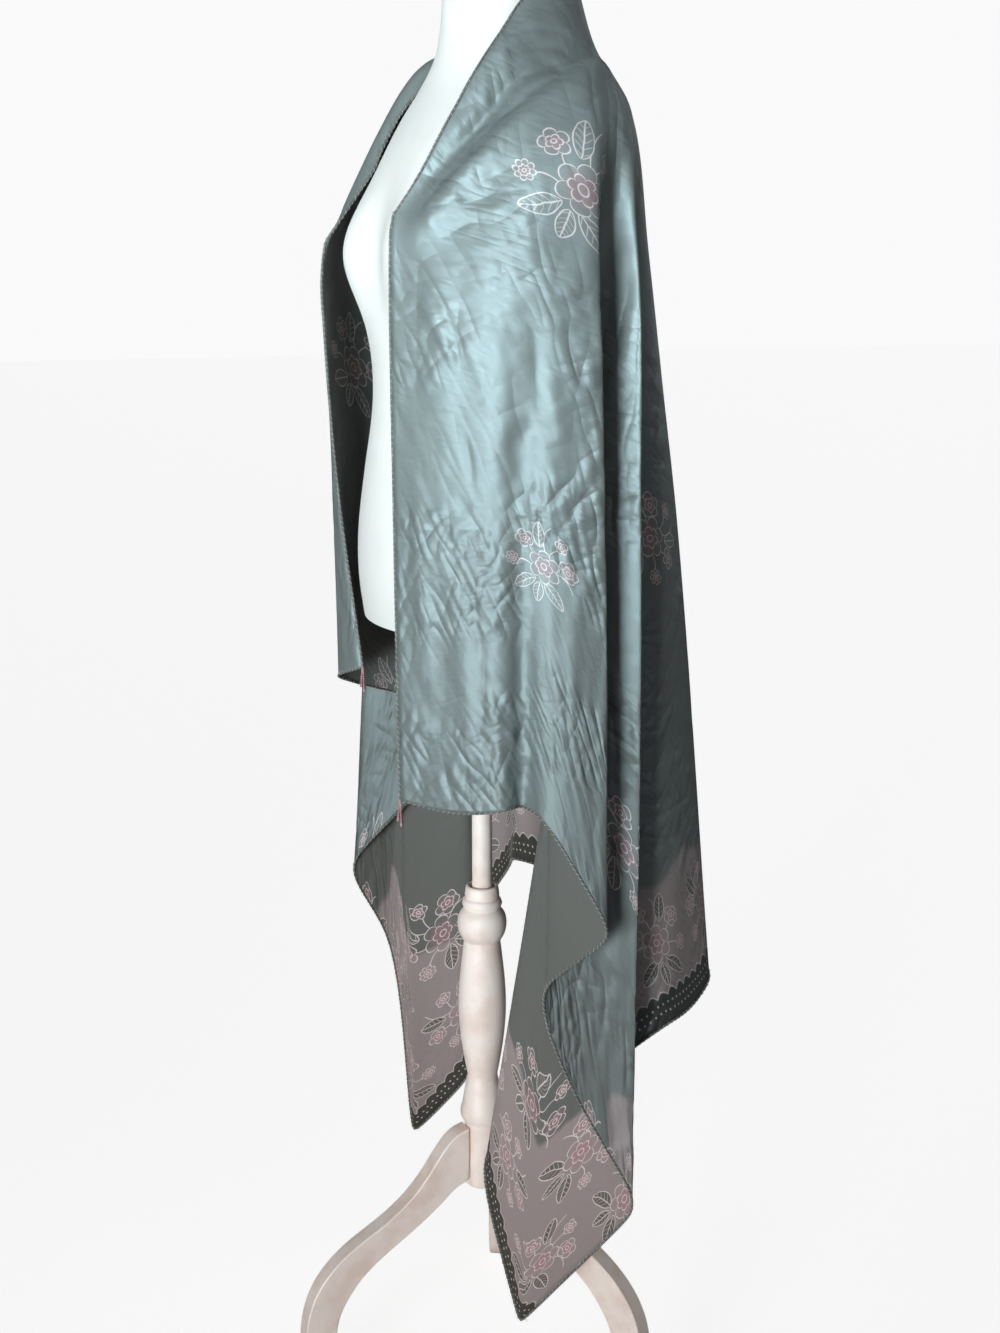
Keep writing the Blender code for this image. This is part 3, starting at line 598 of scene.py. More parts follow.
def cloth_coordinates(grid, middles):
    """Where each point lies on the flat cloth: u along its long way, v down from its top edge.

    The top edge and the short ends are laid out at their own lengths. So is the lower edge, from each
    corner to the back, where the draped cloth is less full than the flat one and the rest is spread
    evenly. The inside relaxes between the edges.
    """
    rows, columns = grid.shape[:2]
    left, back_left, back_right, right = (
        middles[RIB_NAMES.index(name)]
        for name in ("left_corner", "back_left_side", "back_right_side", "right_corner")
    )
    top = running_length(np.concatenate([grid[::-1, 0], grid[0, 1:], grid[1:, -1]]))
    ends = running_length(grid[-1, :left + 1]), running_length(grid[-1, right:])
    low = running_length(grid[-1])
    length, width = top[-1], (ends[0][-1] + ends[1][-1]) / 2
    corner = length / 2 - END_LEAN
    uv = np.zeros((rows, columns, 2))
    top_u = length / 2 - top
    uv[:, 0, 0] = top_u[:rows][::-1]
    uv[0, :, 0] = top_u[rows - 1:rows - 1 + columns]
    uv[:, -1, 0] = top_u[rows + columns - 2:]
    uv[-1, :left + 1, 0] = length / 2 - END_LEAN * ends[0] / ends[0][-1]
    uv[-1, :left + 1, 1] = width * ends[0] / ends[0][-1]
    uv[-1, right:, 0] = END_LEAN * (1 - ends[1] / ends[1][-1]) - length / 2
    uv[-1, right:, 1] = width * (1 - ends[1] / ends[1][-1])
    known = [left, back_left, back_right, right]
    known_u = [
        corner, corner - (low[back_left] - low[left]), low[right] - low[back_right] - corner, -corner,
    ]
    uv[-1, left:right + 1, 0] = np.interp(low[left:right + 1], low[known], known_u)
    uv[-1, left:right + 1, 1] = width
    rows_at = sorted({*range(0, rows, COARSE_STEP), rows - 1})
    columns_at = sorted({*range(0, columns, COARSE_STEP), left, right, columns - 1})
    pick = np.ix_(rows_at, columns_at)
    fine = resample(solve_flat(grid[pick], uv[pick]), rows_at, columns_at, rows, columns)
    fine[0], fine[-1], fine[:, 0], fine[:, -1] = uv[0], uv[-1], uv[:, 0], uv[:, -1]
    tie_across, tie_down = relax_weights(grid)
    west, east = tie_across[1:-1, :-1, None], tie_across[1:-1, 1:, None]
    north, south = tie_down[:-1, 1:-1, None], tie_down[1:, 1:-1, None]
    total = west + east + north + south
    for _ in range(RELAX_ROUNDS):
        fine[1:-1, 1:-1] = (
            fine[1:-1, :-2] * west + fine[1:-1, 2:] * east + fine[:-2, 1:-1] * north
            + fine[2:, 1:-1] * south
        ) / total
    return fine, length, width


def press(uv, crease):
    """How far one crease lifts the cloth at each flat place: a soft line with a low bank on each side."""
    start, end = np.array(crease[:2]), np.array(crease[2:4])
    length = np.linalg.norm(end - start)
    along = (end - start) / length
    aside = np.array((-along[1], along[0]))
    reach = (uv - start) @ along
    t = np.clip(reach / length, 0.0, 1.0)
    off = (uv - start) @ aside - crease.bow * 4 * t * (1 - t)
    distance = (off**2 + (reach - t * length) ** 2) / crease.width**2
    fade = np.sin(np.pi * np.clip(t, FADE_END, 1 - FADE_END)) ** FADE_POWER
    return crease.depth * fade * (np.exp(-distance) - BANK_SHARE * np.exp(-distance / BANK_SPREAD))


def small_creases(length, width, seed):
    """Seeded creases all over the cloth, most of them slanting across it."""
    random = np.random.default_rng(seed)
    creases = []
    for _ in range(CRUMPLE_COUNT):
        u, v = random.uniform(-length / 2, length / 2), random.uniform(CRUMPLE_TOP, width)
        turn = random.choice(CRUMPLE_TURNS) + random.normal(0.0, CRUMPLE_STRAY)
        reach = random.uniform(*CRUMPLE_LENGTH)
        creases.append(Crease(
            u, v, u + reach * math.cos(turn), v + reach * math.sin(turn),
            random.normal(0.0, CRUMPLE_BOW), random.uniform(*CRUMPLE_WIDTH),
            CRUMPLE_DEPTH * random.uniform(-1.0, 1.0),
        ))
    return creases


def crease_cloth(grid, uv, creases):
    """Lift each point of the cloth along its normal by all the creases."""
    lift = sum(press(uv, crease) for crease in creases)
    return grid + grid_normals(grid) * lift[..., None]


def add_object(name, data):
    """A new object in the scene for a mesh, a camera or a light."""
    made = bpy.data.objects.new(name, data)
    bpy.context.scene.collection.objects.link(made)
    return made


def add_mesh(name, points, faces, materials, uv=None):
    """A smooth mesh object from points and faces, with a UV map where one is given."""
    mesh = bpy.data.meshes.new(name)
    mesh.from_pydata([tuple(p) for p in points], [], faces)
    if uv is not None:
        layer = mesh.uv_layers.new(name="cloth")
        corner = np.zeros(len(mesh.loops), np.int32)
        mesh.loops.foreach_get("vertex_index", corner)
        layer.data.foreach_set("uv", np.asarray(uv)[corner].astype(np.float32).ravel())
    mesh.shade_smooth()
    for material in materials:
        mesh.materials.append(material)
    return add_object(name, mesh)


def grid_faces(rows, columns):
    """The quads of a grid, facing the cloth's right side."""
    index = np.arange(rows * columns).reshape(rows, columns)
    quads = np.stack([index[:-1, :-1], index[1:, :-1], index[1:, 1:], index[:-1, 1:]], axis=-1)
    return quads.reshape(-1, 4).tolist()


def plain_material(name, colour, roughness, **more):
    """A Principled material with one colour, and any more of its sockets by name."""
    material = bpy.data.materials.new(name)
    material.use_nodes = True
    shader = material.node_tree.nodes["Principled BSDF"]
    shader.inputs["Base Color"].default_value = (*colour, 1.0)
    shader.inputs["Roughness"].default_value = roughness
    for socket, value in more.items():
        shader.inputs[socket.replace("_", " ")].default_value = value
    return material


def fill(tree, socket, value):
    """Set a socket to a value, or link it to a wire or to another socket."""
    if isinstance(value, Wire):
        value = value.socket
    if isinstance(value, bpy.types.NodeSocket):
        tree.links.new(value, socket)
    else:
        socket.default_value = value


def add_node(tree, kind, settings=None, **inputs):
    """Add a node, with its settings, and fill its inputs by name."""
    node = tree.nodes.new(kind)
    for key, value in (settings or {}).items():
        setattr(node, key, value)
    for name, value in inputs.items():
        fill(tree, next(s for s in node.inputs if s.enabled and s.name == name.replace("_", " ")), value)
    return node


def result_of(tree, kind, settings=None, **inputs):
    """Add a node in the same way, and give its first output that is in use as a wire."""
    node = add_node(tree, kind, settings, **inputs)
    return Wire(tree, next(s for s in node.outputs if s.enabled))


class Wire:
    """A value in a node tree. Sums, products and the methods below add nodes to the tree."""

    def __init__(self, tree, socket):
        self.tree = tree
        self.socket = socket

    def feed(self, node, *values):
        """Set or link a node's first inputs, and give its first output."""
        for socket, value in zip(node.inputs, values):
            fill(self.tree, socket, value)
        return Wire(self.tree, node.outputs[0])

    def math(self, operation, *others):
        return self.feed(add_node(self.tree, "ShaderNodeMath", {"operation": operation}), self, *others)

    def __add__(self, other):
        return self.math("ADD", other)

    def __sub__(self, other):
        return self.math("SUBTRACT", other)

    def __mul__(self, other):
        return self.math("MULTIPLY", other)

    def __truediv__(self, other):
        return self.math("DIVIDE", other)

    def size(self):
        return self.math("ABSOLUTE")

    def rest(self):
        """One minus this value."""
        return self * -1.0 + 1.0

    def ramp(self, low, high):
        """A soft step from 0 at low to 1 at high, which may be the smaller of the two."""
        node = add_node(self.tree, "ShaderNodeMapRange", {"interpolation_type": "SMOOTHSTEP"})
        return self.feed(node, self, low, high)

    def drawn(self, half):
        """A line of the given half width where this value is near 0."""
        return self.size().ramp(half, half * LINE_CORE)

    def mixed(self, first, second):
        """A colour between two colours, by this value."""
        first, second = (c if isinstance(c, Wire) else (*c, 1.0) for c in (first, second))
        return result_of(
            self.tree, "ShaderNodeMix", {"data_type": "RGBA"}, Factor=self, A=first, B=second,
        )


def add_sockets(tree, way, kind, names):
    """Give a group inputs or outputs of one kind."""
    for name in names:
        tree.interface.new_socket(name, in_out=way, socket_type="NodeSocket" + kind)


def group_ends(tree):
    """Add a group's input and output nodes, and give its inputs as wires by name and its output node."""
    start, end = tree.nodes.new("NodeGroupInput"), tree.nodes.new("NodeGroupOutput")
    return {s.name: Wire(tree, s) for s in start.outputs if s.name}, end


def new_group(name, inputs, outputs):
    """A shader node group with its ends."""
    tree = bpy.data.node_groups.new(name, "ShaderNodeTree")
    for way, names in (("INPUT", inputs), ("OUTPUT", outputs)):
        for socket_name in names:
            add_sockets(tree, way, SOCKET_KINDS.get(socket_name, "Float"), [socket_name])
    return tree, *group_ends(tree)


def finish_group(tree, end, **results):
    """Link a group's results to its outputs by name."""
    for name, wire in results.items():
        fill(tree, end.inputs[name], wire)
    return tree


def use_group(tree, group, **values):
    """Add a group to a tree, fill its inputs by name, and give its outputs as wires by name."""
    node = add_node(tree, "ShaderNodeGroup", {"node_tree": group})
    for name, value in values.items():
        fill(tree, node.inputs[name], value)
    return {socket.name: Wire(tree, socket) for socket in node.outputs}


def local_frame(given):
    """Where a place lies along and beside a turned length that starts at the origin, as shares of it."""
    cosine, sine = given["Turn"].math("COSINE"), given["Turn"].math("SINE")
    along = (given["Across"] * cosine + given["Up"] * sine) / given["Length"]
    beside = (given["Up"] * cosine - given["Across"] * sine) / given["Length"]
    return along, beside


def flower_group():
    """A round flower in two rings of petals, drawn with lines."""
    tree, given, end = new_group(
        "flower", ("Across", "Up", "Size", "Petals", "Turn"), ("Fill", "Heart", "Line"),
    )
    x, y = given["Across"] / given["Size"], given["Up"] / given["Size"]
    radius = (x * x + y * y).math("SQRT")
    turned = (y.math("ARCTAN2", x) + given["Turn"]) * given["Petals"] * 0.5
    outer = turned.math("COSINE").size()
    inner = turned.math("SINE").size()
    outer_rim = outer.math("POWER", 0.5) * OUTER_PETALS[0] + OUTER_PETALS[1]
    inner_rim = inner.math("POWER", 0.5) * INNER_PETALS[0] + INNER_PETALS[1]
    thin = given["Size"].math("POWER", -1.0) * LINE
    line = (radius - outer_rim).drawn(thin)
    for ring in (inner_rim, MIDDLE_RING):
        line = line.math("MAXIMUM", (radius - ring).drawn(thin))
    between = outer.ramp(0.20, 0.05) * (radius - inner_rim).ramp(0.0, 0.04)
    between = between * (radius - OUTER_PETALS[1]).ramp(0.02, -0.02)
    return finish_group(
        tree, end, Fill=(radius - outer_rim).ramp(0.02, -0.02), Heart=(radius - inner_rim).ramp(0.3, -0.1),
        Line=line.math("MAXIMUM", between),
    )


def leaf_group():
    """A pointed leaf with a middle rib and slanting veins."""
    tree, given, end = new_group("leaf", ("Across", "Up", "Length", "Turn"), ("Fill", "Line"))
    along, beside = local_frame(given)
    beside = beside.size()
    bulge = (along * along.rest()).math("MAXIMUM", 0.0)
    half = bulge.math("POWER", LEAF_BLUNT) * LEAF_WIDTH
    thin = given["Length"].math("POWER", -1.0) * LINE
    inside = (beside - half).ramp(0.01, -0.01) * bulge.ramp(0.0, 0.01)
    rim = (beside - half).drawn(thin) * bulge.ramp(0.0, 0.02)
    rib = beside.drawn(thin) * inside
    veins = ((along - beside * VEIN_SLANT) * VEINS).math("FRACT") - 0.5
    veins = veins.size().ramp(0.12, 0.05) * (beside / half).ramp(0.95, 0.7) * inside
    line = rim.math("MAXIMUM", rib).math("MAXIMUM", veins * VEIN_INK)
    return finish_group(tree, end, Fill=inside, Line=line)


def stem_group():
    """A thin bent stem."""
    tree, given, end = new_group("stem", ("Across", "Up", "Length", "Turn", "Bend"), ("Line",))
    along, beside = local_frame(given)
    bulge = along * along.rest()
    thin = given["Length"].math("POWER", -1.0) * LINE
    line = (beside - bulge * given["Bend"] * 4.0).drawn(thin)
    return finish_group(tree, end, Line=line * bulge.ramp(0.0, 0.02))


def bouquet_group():
    """The bouquet: stems first, then leaves over them, then flowers over both."""
    tree, given, end = new_group("bouquet", ("Across", "Up"), ("Petal", "Heart", "Leaf", "Line"))
    flower, leaf, stem = flower_group(), leaf_group(), stem_group()
    across, up = given["Across"], given["Up"]
    line = leaves = petals = hearts = across * 0.0
    for row in STEMS:
        made = use_group(
            tree, stem, Across=across - row.across, Up=up - row.up, Length=row.length, Turn=row.turn,
            Bend=row.bend,
        )
        line = line.math("MAXIMUM", made["Line"])
    for row in LEAVES:
        made = use_group(
            tree, leaf, Across=across - row.across, Up=up - row.up, Length=row.length, Turn=row.turn,
        )
        line = (line * made["Fill"].rest()).math("MAXIMUM", made["Line"])
        leaves = leaves.math("MAXIMUM", made["Fill"])
    for row in FLOWERS:
        made = use_group(
            tree, flower, Across=across - row.across, Up=up - row.up, Size=row.size, Petals=row.petals,
            Turn=row.turn,
        )
        line = (line * made["Fill"].rest()).math("MAXIMUM", made["Line"])
        leaves = leaves * made["Fill"].rest()
        petals = petals.math("MAXIMUM", made["Fill"])
        hearts = hearts.math("MAXIMUM", made["Heart"])
    return finish_group(tree, end, Petal=petals, Heart=hearts, Leaf=leaves, Line=line)


def end_rise(u):
    """How much higher the band and its mauve are at a place along the cloth."""
    return u.size().ramp(*END_CLIMB) * END_RISE


def print_group(colours, width):
    """The whole print over the flat cloth: scattered bouquets, a flowered band and a dotted border, on a
    ground that painted shade darkens towards the lower edge.

    U and V are places on the flat cloth. Ground is the cloth's own colour.
    """
    tree, given, end = new_group("print", ("U", "V", "Ground"), ("Colour",))
    place = result_of(tree, "ShaderNodeCombineXYZ", X=given["U"], Y=given["V"])
    wobble = result_of(
        tree, "ShaderNodeTexNoise", {"noise_dimensions": "2D"}, Vector=place, Scale=HAND_SCALE,
    )
    hand = (wobble - 0.5) * HAND_SHAKE
    u, low = given["U"] + hand, given["V"] * -1.0 + width - hand

    # In the band the bouquets stand in rows; above it they are scattered and point to the middle
    band_up = (low - BORDER) / BAND_STEP
    row = band_up.math("FLOOR")
    band_across = u / BAND_STEP + row * 0.5
    band_column = band_across.math("FLOOR")
    field_across = (u - FIELD_START[0]) / FIELD_STEP[0] + 0.5
    field_column = field_across.math("FLOOR")
    field_up = (low - (width - FIELD_START[1])) / FIELD_STEP[1] + 0.5
    field_up = field_up + field_column.math("FLOORED_MODULO", 2.0) * FIELD_DROP
    field_row = field_up.math("FLOOR")
    near_end = u.size().math("GREATER_THAN", END_START) * BAND_STEP
    in_field = low.math("GREATER_THAN", near_end + (BORDER + BAND_ROWS * BAND_STEP))
    in_band = in_field.rest()
    column = field_column * in_field + band_column * in_band
    cell = result_of(
        tree, "ShaderNodeCombineXYZ", X=column, Y=field_row * in_field + row * in_band, Z=in_field,
    )
    chance = Wire(tree, add_node(tree, "ShaderNodeTexWhiteNoise", Vector=cell).outputs["Value"])
    turn = (chance - 0.5) * BOUQUET_TURN + u.math("SIGN") * in_field * (math.pi / 2)
    mirror = (chance * 7.0).math("FRACT").math("GREATER_THAN", 0.5) * 2.0 - 1.0
    across = (
        (field_across - field_column - 0.5) * FIELD_STEP[0] * in_field
        + (band_across - band_column - 0.5) * BAND_STEP * in_band
    )
    up = (
        (field_up - field_row - 0.5) * FIELD_STEP[1] * in_field
        + (band_up - row - 0.5) * BAND_STEP * in_band
    )
    cosine, sine = turn.math("COSINE"), turn.math("SINE")
    middle_u = (band_column + row * -0.5 + 0.5) * BAND_STEP
    middle_low = (row + 0.5) * BAND_STEP + BORDER
    near_mauve = (middle_low - end_rise(middle_u)).math("LESS_THAN", MAUVE_TOP + MOTIF_REACH)
    shown = near_mauve.math("MAXIMUM", in_field)
    made = use_group(
        tree, bouquet_group(), Across=(across * cosine + up * sine) * mirror,
        Up=up * cosine - across * sine,
    )
    above = low.math("GREATER_THAN", BORDER) * shown
    petal, heart, leaf, line = (made[name] * above for name in ("Petal", "Heart", "Leaf", "Line"))

    scallop = (u * (math.tau / BAND_STEP)).math("SINE") * SCALLOP
    mauve = (low + scallop - end_rise(u)).ramp(MAUVE_TOP + MAUVE_SOFT, MAUVE_TOP - MAUVE_SOFT)
    arch = (u * (math.tau / ARCH)).math("SINE").size() * ARCH_HEIGHT
    border = (low - arch).ramp(ARCH_LINE - 0.001, ARCH_LINE - 0.002)
    edge_line = (low - arch - ARCH_LINE).drawn(LINE)
    dots = [((value / DOT_STEP).math("FRACT") - 0.5) * DOT_STEP for value in (u, low)]
    dots = (dots[0] * dots[0] + dots[1] * dots[1]).math("SQRT").ramp(DOT, DOT * DOT_CORE)
    dots = dots * (low - BORDER * DOTS_AT).size().ramp(DOT_STEP + 0.001, DOT_STEP)

    # Painted shade: the ground is darkened towards the lower edge, where the low cloth hangs in shade
    deep = low.ramp(PAINTED_SHADE_START, PAINTED_SHADE_END) * PAINTED_SHADE_SHARE
    ground = mauve.mixed(deep.mixed(given["Ground"], colours["deep"]), colours["mauve"])
    colour = border.mixed(ground, colours["border"])
    for part, ink, key in ((leaf, LEAF_INK, "leaf"), (petal, PETAL_INK, "petal")):
        colour = (part * (mauve * ink[0] + ink[1])).mixed(colour, colours[key])
    colour = (heart * HEART_INK).mixed(colour, colours["heart"])
    drawn = line.math("MAXIMUM", edge_line).math("MAXIMUM", dots)
    colour = (drawn * LINE_INK).mixed(colour, colours["line"])
    return finish_group(tree, end, Colour=colour)


def pull_group():
    """Height of one sharp crease, from the place on the flat cloth."""
    names = ("U", "V", "From U", "From V", "Along U", "Along V", "Length", "Bow", "Width", "Depth")
    tree, given, end = new_group("pull", names, ("Height",))
    u, v = given["U"] - given["From U"], given["V"] - given["From V"]
    reach = u * given["Along U"] + v * given["Along V"]
    t = (reach / given["Length"]).math("MAXIMUM", 0.0).math("MINIMUM", 1.0)
    bulge = t * t.rest() * 4.0
    off = v * given["Along U"] - u * given["Along V"] - bulge * given["Bow"]
    over = reach - t * given["Length"]
    distance = (off * off + over * over) / (given["Width"] * given["Width"])
    height = (distance * -1.0).math("EXPONENT") * bulge.math("SQRT") * given["Depth"]
    return finish_group(tree, end, Height=height)


def crumple_group(name, creases):
    """Height of the threads, the finest wrinkles and the given sharp creases, by place on the flat cloth.

    Each set of wrinkles is a stretched noise folded at its middle, so it makes thin slanting creases with
    smooth cloth between them. A broad noise leaves some places calmer than others.
    """
    tree, given, end = new_group(name, ("Place", "Depth"), ("Height",))

    def noise(scale, turn=0.0, detail=1.0):
        stretched = result_of(
            tree, "ShaderNodeMapping", {"vector_type": "TEXTURE"}, Vector=given["Place"],
            Scale=(*scale, 1.0), Rotation=(0.0, 0.0, turn),
        )
        return result_of(
            tree, "ShaderNodeTexNoise", {"noise_dimensions": "2D"}, Vector=stretched, Scale=1.0,
            Detail=detail,
        )

    height = noise(THREAD_SCALE) * THREAD_HEIGHT
    calm = noise(CALM_SCALE, detail=0.0).ramp(*CALM_RANGE) * (1 - CALM_LEAST) + CALM_LEAST
    for across, along, turn, share in WRINKLES:
        height = height + (noise((across, along), turn) - 0.5).size() * calm * share
    height = height * given["Depth"]
    place = add_node(tree, "ShaderNodeSeparateXYZ", Vector=given["Place"]).outputs
    pull = pull_group()
    for crease in creases:
        u, v = crease.u1 - crease.u0, crease.v1 - crease.v0
        length = math.hypot(u, v)
        made = use_group(tree, pull, **{
            "U": place[0], "V": place[1], "From U": crease.u0, "From V": crease.v0,
            "Along U": u / length, "Along V": v / length, "Length": length, "Bow": crease.bow,
            "Width": crease.width, "Depth": crease.depth,
        })
        height = height + made["Height"]
    return finish_group(tree, end, Height=height)


def add_bump(tree, height):
    """Let a height in metres bend the shader's normal."""
    bent = result_of(tree, "ShaderNodeBump", Distance=1.0, Height=height)
    fill(tree, tree.nodes["Principled BSDF"].inputs["Normal"], bent)


def grain_group():
    """Fine threads or brush marks that run upwards, and broad soft stains."""
    tree, given, end = new_group("grain", ("Place", "Across", "Along", "Patch"), ("Height", "Stain"))

    def noise(across, along, detail):
        size = result_of(tree, "ShaderNodeCombineXYZ", X=across, Y=across, Z=along)
        shrink = add_node(tree, "ShaderNodeVectorMath", {"operation": "DIVIDE"})
        shrunk = across.feed(shrink, given["Place"], size)
        return result_of(tree, "ShaderNodeTexNoise", Vector=shrunk, Scale=1.0, Detail=detail)

    fine = noise(given["Across"], given["Along"], 1.0)
    broad = noise(given["Patch"], given["Patch"], 3.0)
    stain = broad.ramp(*STAIN_RANGE) + (fine - 0.5) * STAIN_GRAIN
    return finish_group(tree, end, Height=fine, Stain=stain)


def grained_material(name, grain, colour, stained, roughness, across, along, patch, depth, **more):
    """A covered, painted or threaded finish, with soft stains in its colour and a fine grain in its bump."""
    material = plain_material(name, colour, roughness, **more)
    tree = material.node_tree
    place = add_node(tree, "ShaderNodeTexCoord").outputs["Object"]
    made = use_group(tree, grain, Place=place, Across=across, Along=along, Patch=patch)
    shader = tree.nodes["Principled BSDF"]
    fill(tree, shader.inputs["Base Color"], made["Stain"].mixed(colour, stained))
    fill(tree, shader.inputs["Roughness"], made["Stain"] * STAIN_DULL + roughness)
    add_bump(tree, made["Height"] * depth)
    return material


def seen_directly(tree):
    """1 where the camera looks straight at something, and 0 where light only passes on."""
    return Wire(tree, add_node(tree, "ShaderNodeLightPath").outputs["Is Camera Ray"])


def satin_material(name, print_tree, crumple_tree, ground, depth, roughness, **more):
    """One side of the printed satin, with any more of the shader's sockets by name."""
    material = plain_material(name, ground, roughness, **more)
    tree = material.node_tree
    shader = tree.nodes["Principled BSDF"]
    flat = result_of(tree, "ShaderNodeUVMap", {"uv_map": "cloth"})
    place = add_node(tree, "ShaderNodeSeparateXYZ", Vector=flat).outputs
    printed = use_group(tree, print_tree, U=place[0], V=place[1], Ground=(*ground, 1.0))
    fill(tree, shader.inputs["Base Color"], printed["Colour"])
    tangent = result_of(tree, "ShaderNodeTangent", {"direction_type": "UV_MAP", "uv_map": "cloth"})
    fill(tree, shader.inputs["Tangent"], tangent)
    crumpled = use_group(tree, crumple_tree, Place=flat, Depth=depth)
    add_bump(tree, crumpled["Height"])
    return material


def refined(node, name, material, sharp_angle):
    """A smooth, finer copy of one of the frame's solids, with its sharp edges kept."""
    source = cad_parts[node]
    shape = bmesh.new()
    shape.from_mesh(source.data)
    shape.transform(source.matrix_world)
    bmesh.ops.remove_doubles(shape, verts=shape.verts, dist=MERGE)
    bmesh.ops.join_triangles(
        shape, faces=shape.faces, angle_face_threshold=JOIN_FACES, angle_shape_threshold=JOIN_SHAPES,
    )
    crease = shape.edges.layers.float.new("crease_edge")
    for edge in shape.edges:
        if edge.is_manifold and edge.calc_face_angle() > sharp_angle:
            edge[crease] = 1.0
            edge.smooth = False
    for face in shape.faces:
        face.smooth = True
    mesh = bpy.data.meshes.new(name)
    shape.to_mesh(mesh)
    shape.free()
    mesh.materials.append(material)
    piece = add_object(name, mesh)
    finer = piece.modifiers.new("finer", "SUBSURF")
    finer.levels = finer.render_levels = SPLITS
    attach(piece, "root")
    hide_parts(node)
    return piece


def repeat_tree(name, sizes, materials):
    """An empty geometry node tree with named inputs, those inputs as wires, and its output socket."""
    tree = bpy.data.node_groups.new(name, "GeometryNodeTree")
    add_sockets(tree, "INPUT", "Geometry", ["Geometry"])
    add_sockets(tree, "OUTPUT", "Geometry", ["Geometry"])
    add_sockets(tree, "INPUT", "Float", sizes)
    add_sockets(tree, "INPUT", "Int", ["Seed"])
    add_sockets(tree, "INPUT", "Material", materials)
    given, end = group_ends(tree)
    return tree, given, end.inputs[0]


def painted(tree, geometry, material):
    """The geometry shaded smooth, with its material."""
    smooth = result_of(tree, "GeometryNodeSetShadeSmooth", Geometry=geometry)
    return result_of(tree, "GeometryNodeSetMaterial", Geometry=smooth, Material=material)


def tube_along(tree, curve, radius, sides, material):
    """A round tube along a curve, with its material."""
    ring = result_of(tree, "GeometryNodeCurvePrimitiveCircle", Radius=radius, Resolution=sides)
    tube = result_of(tree, "GeometryNodeCurveToMesh", Curve=curve, Profile_Curve=ring)
    return painted(tree, tube, material)


def spaced(tree, curve, step):
    """The curve with its points an even step apart."""
    return result_of(tree, "GeometryNodeResampleCurve", {"mode": "LENGTH"}, Curve=curve, Length=step)


def turned_along(tree, seed, swing):
    """Rotations along a curve's tangent, each with a seeded turn about it."""
    facing = result_of(
        tree, "FunctionNodeAlignRotationToVector", {"axis": "Z"},
        Vector=result_of(tree, "GeometryNodeInputTangent"),
    )
    chance = result_of(
        tree, "FunctionNodeRandomValue", {"data_type": "FLOAT"}, Min=-swing, Max=swing, Seed=seed,
    )
    angle = result_of(tree, "FunctionNodeAxisAngleToRotation", Axis=(0.0, 0.0, 1.0), Angle=chance)
    return result_of(
        tree, "FunctionNodeRotateRotation", {"rotation_space": "LOCAL"}, Rotation=facing, Rotate_By=angle,
    )


def joined(tree, parts, end):
    """Join the parts, make them real, and link them to the tree's output."""
    join = tree.nodes.new("GeometryNodeJoinGeometry")
    for part in reversed(parts):
        fill(tree, join.inputs[0], part)
    fill(tree, end, result_of(tree, "GeometryNodeRealizeInstances", Geometry=join.outputs[0]))
    return tree


def hem_tree():
    """A rolled hem along a line, whipped with one slanted stitch per pitch."""
    tree, given, end = repeat_tree("hem", ("Roll", "Pitch", "Thread"), ("Cloth", "Silk"))
    line = result_of(tree, "GeometryNodeMeshToCurve", Mesh=given["Geometry"])
    roll = tube_along(tree, spaced(tree, line, HEM_STEP), given["Roll"], ROLL_SIDES, given["Cloth"])
    over = given["Roll"] + given["Thread"]
    turn = result_of(
        tree, "GeometryNodeCurveSpiral", Resolution=STITCH_RINGS, Rotations=STITCH_TURNS,
        Start_Radius=over, End_Radius=over, Height=given["Pitch"],
    )
    stitches = result_of(
        tree, "GeometryNodeInstanceOnPoints", Points=spaced(tree, line, given["Pitch"]),
        Instance=tube_along(tree, turn, given["Thread"], STITCH_SIDES, given["Silk"]),
        Rotation=turned_along(tree, given["Seed"], STITCH_SWING),
    )
    return joined(tree, [roll, stitches], end)


def beads_tree():
    """Beads threaded on lines, with a larger drop at each line's end."""
    tree, given, end = repeat_tree("beads", ("Bead", "Pitch", "Thread"), ("Glass", "Silk"))
    line = result_of(tree, "GeometryNodeMeshToCurve", Mesh=given["Geometry"])
    thread = tube_along(tree, line, given["Thread"], STRAND_SIDES, given["Silk"])
    ball = result_of(
        tree, "GeometryNodeMeshUVSphere", Segments=BEAD_SEGMENTS, Rings=BEAD_RINGS, Radius=given["Bead"],
    )
    bead = painted(tree, ball, given["Glass"])
    size = result_of(
        tree, "FunctionNodeRandomValue", {"data_type": "FLOAT"}, Min=BEAD_SIZES[0], Max=BEAD_SIZES[1],
        Seed=given["Seed"],
    )
    beads = result_of(
        tree, "GeometryNodeInstanceOnPoints", Points=spaced(tree, line, given["Pitch"]), Instance=bead,
        Rotation=turned_along(tree, given["Seed"], BEAD_SWING), Scale=size,
    )
    last = result_of(tree, "GeometryNodeCurveEndpointSelection", Start_Size=0, End_Size=1)
    drops = result_of(
        tree, "GeometryNodeInstanceOnPoints", Points=line, Selection=last, Instance=bead, Scale=LAST_BEAD,
    )
    return joined(tree, [thread, beads, drops], end)


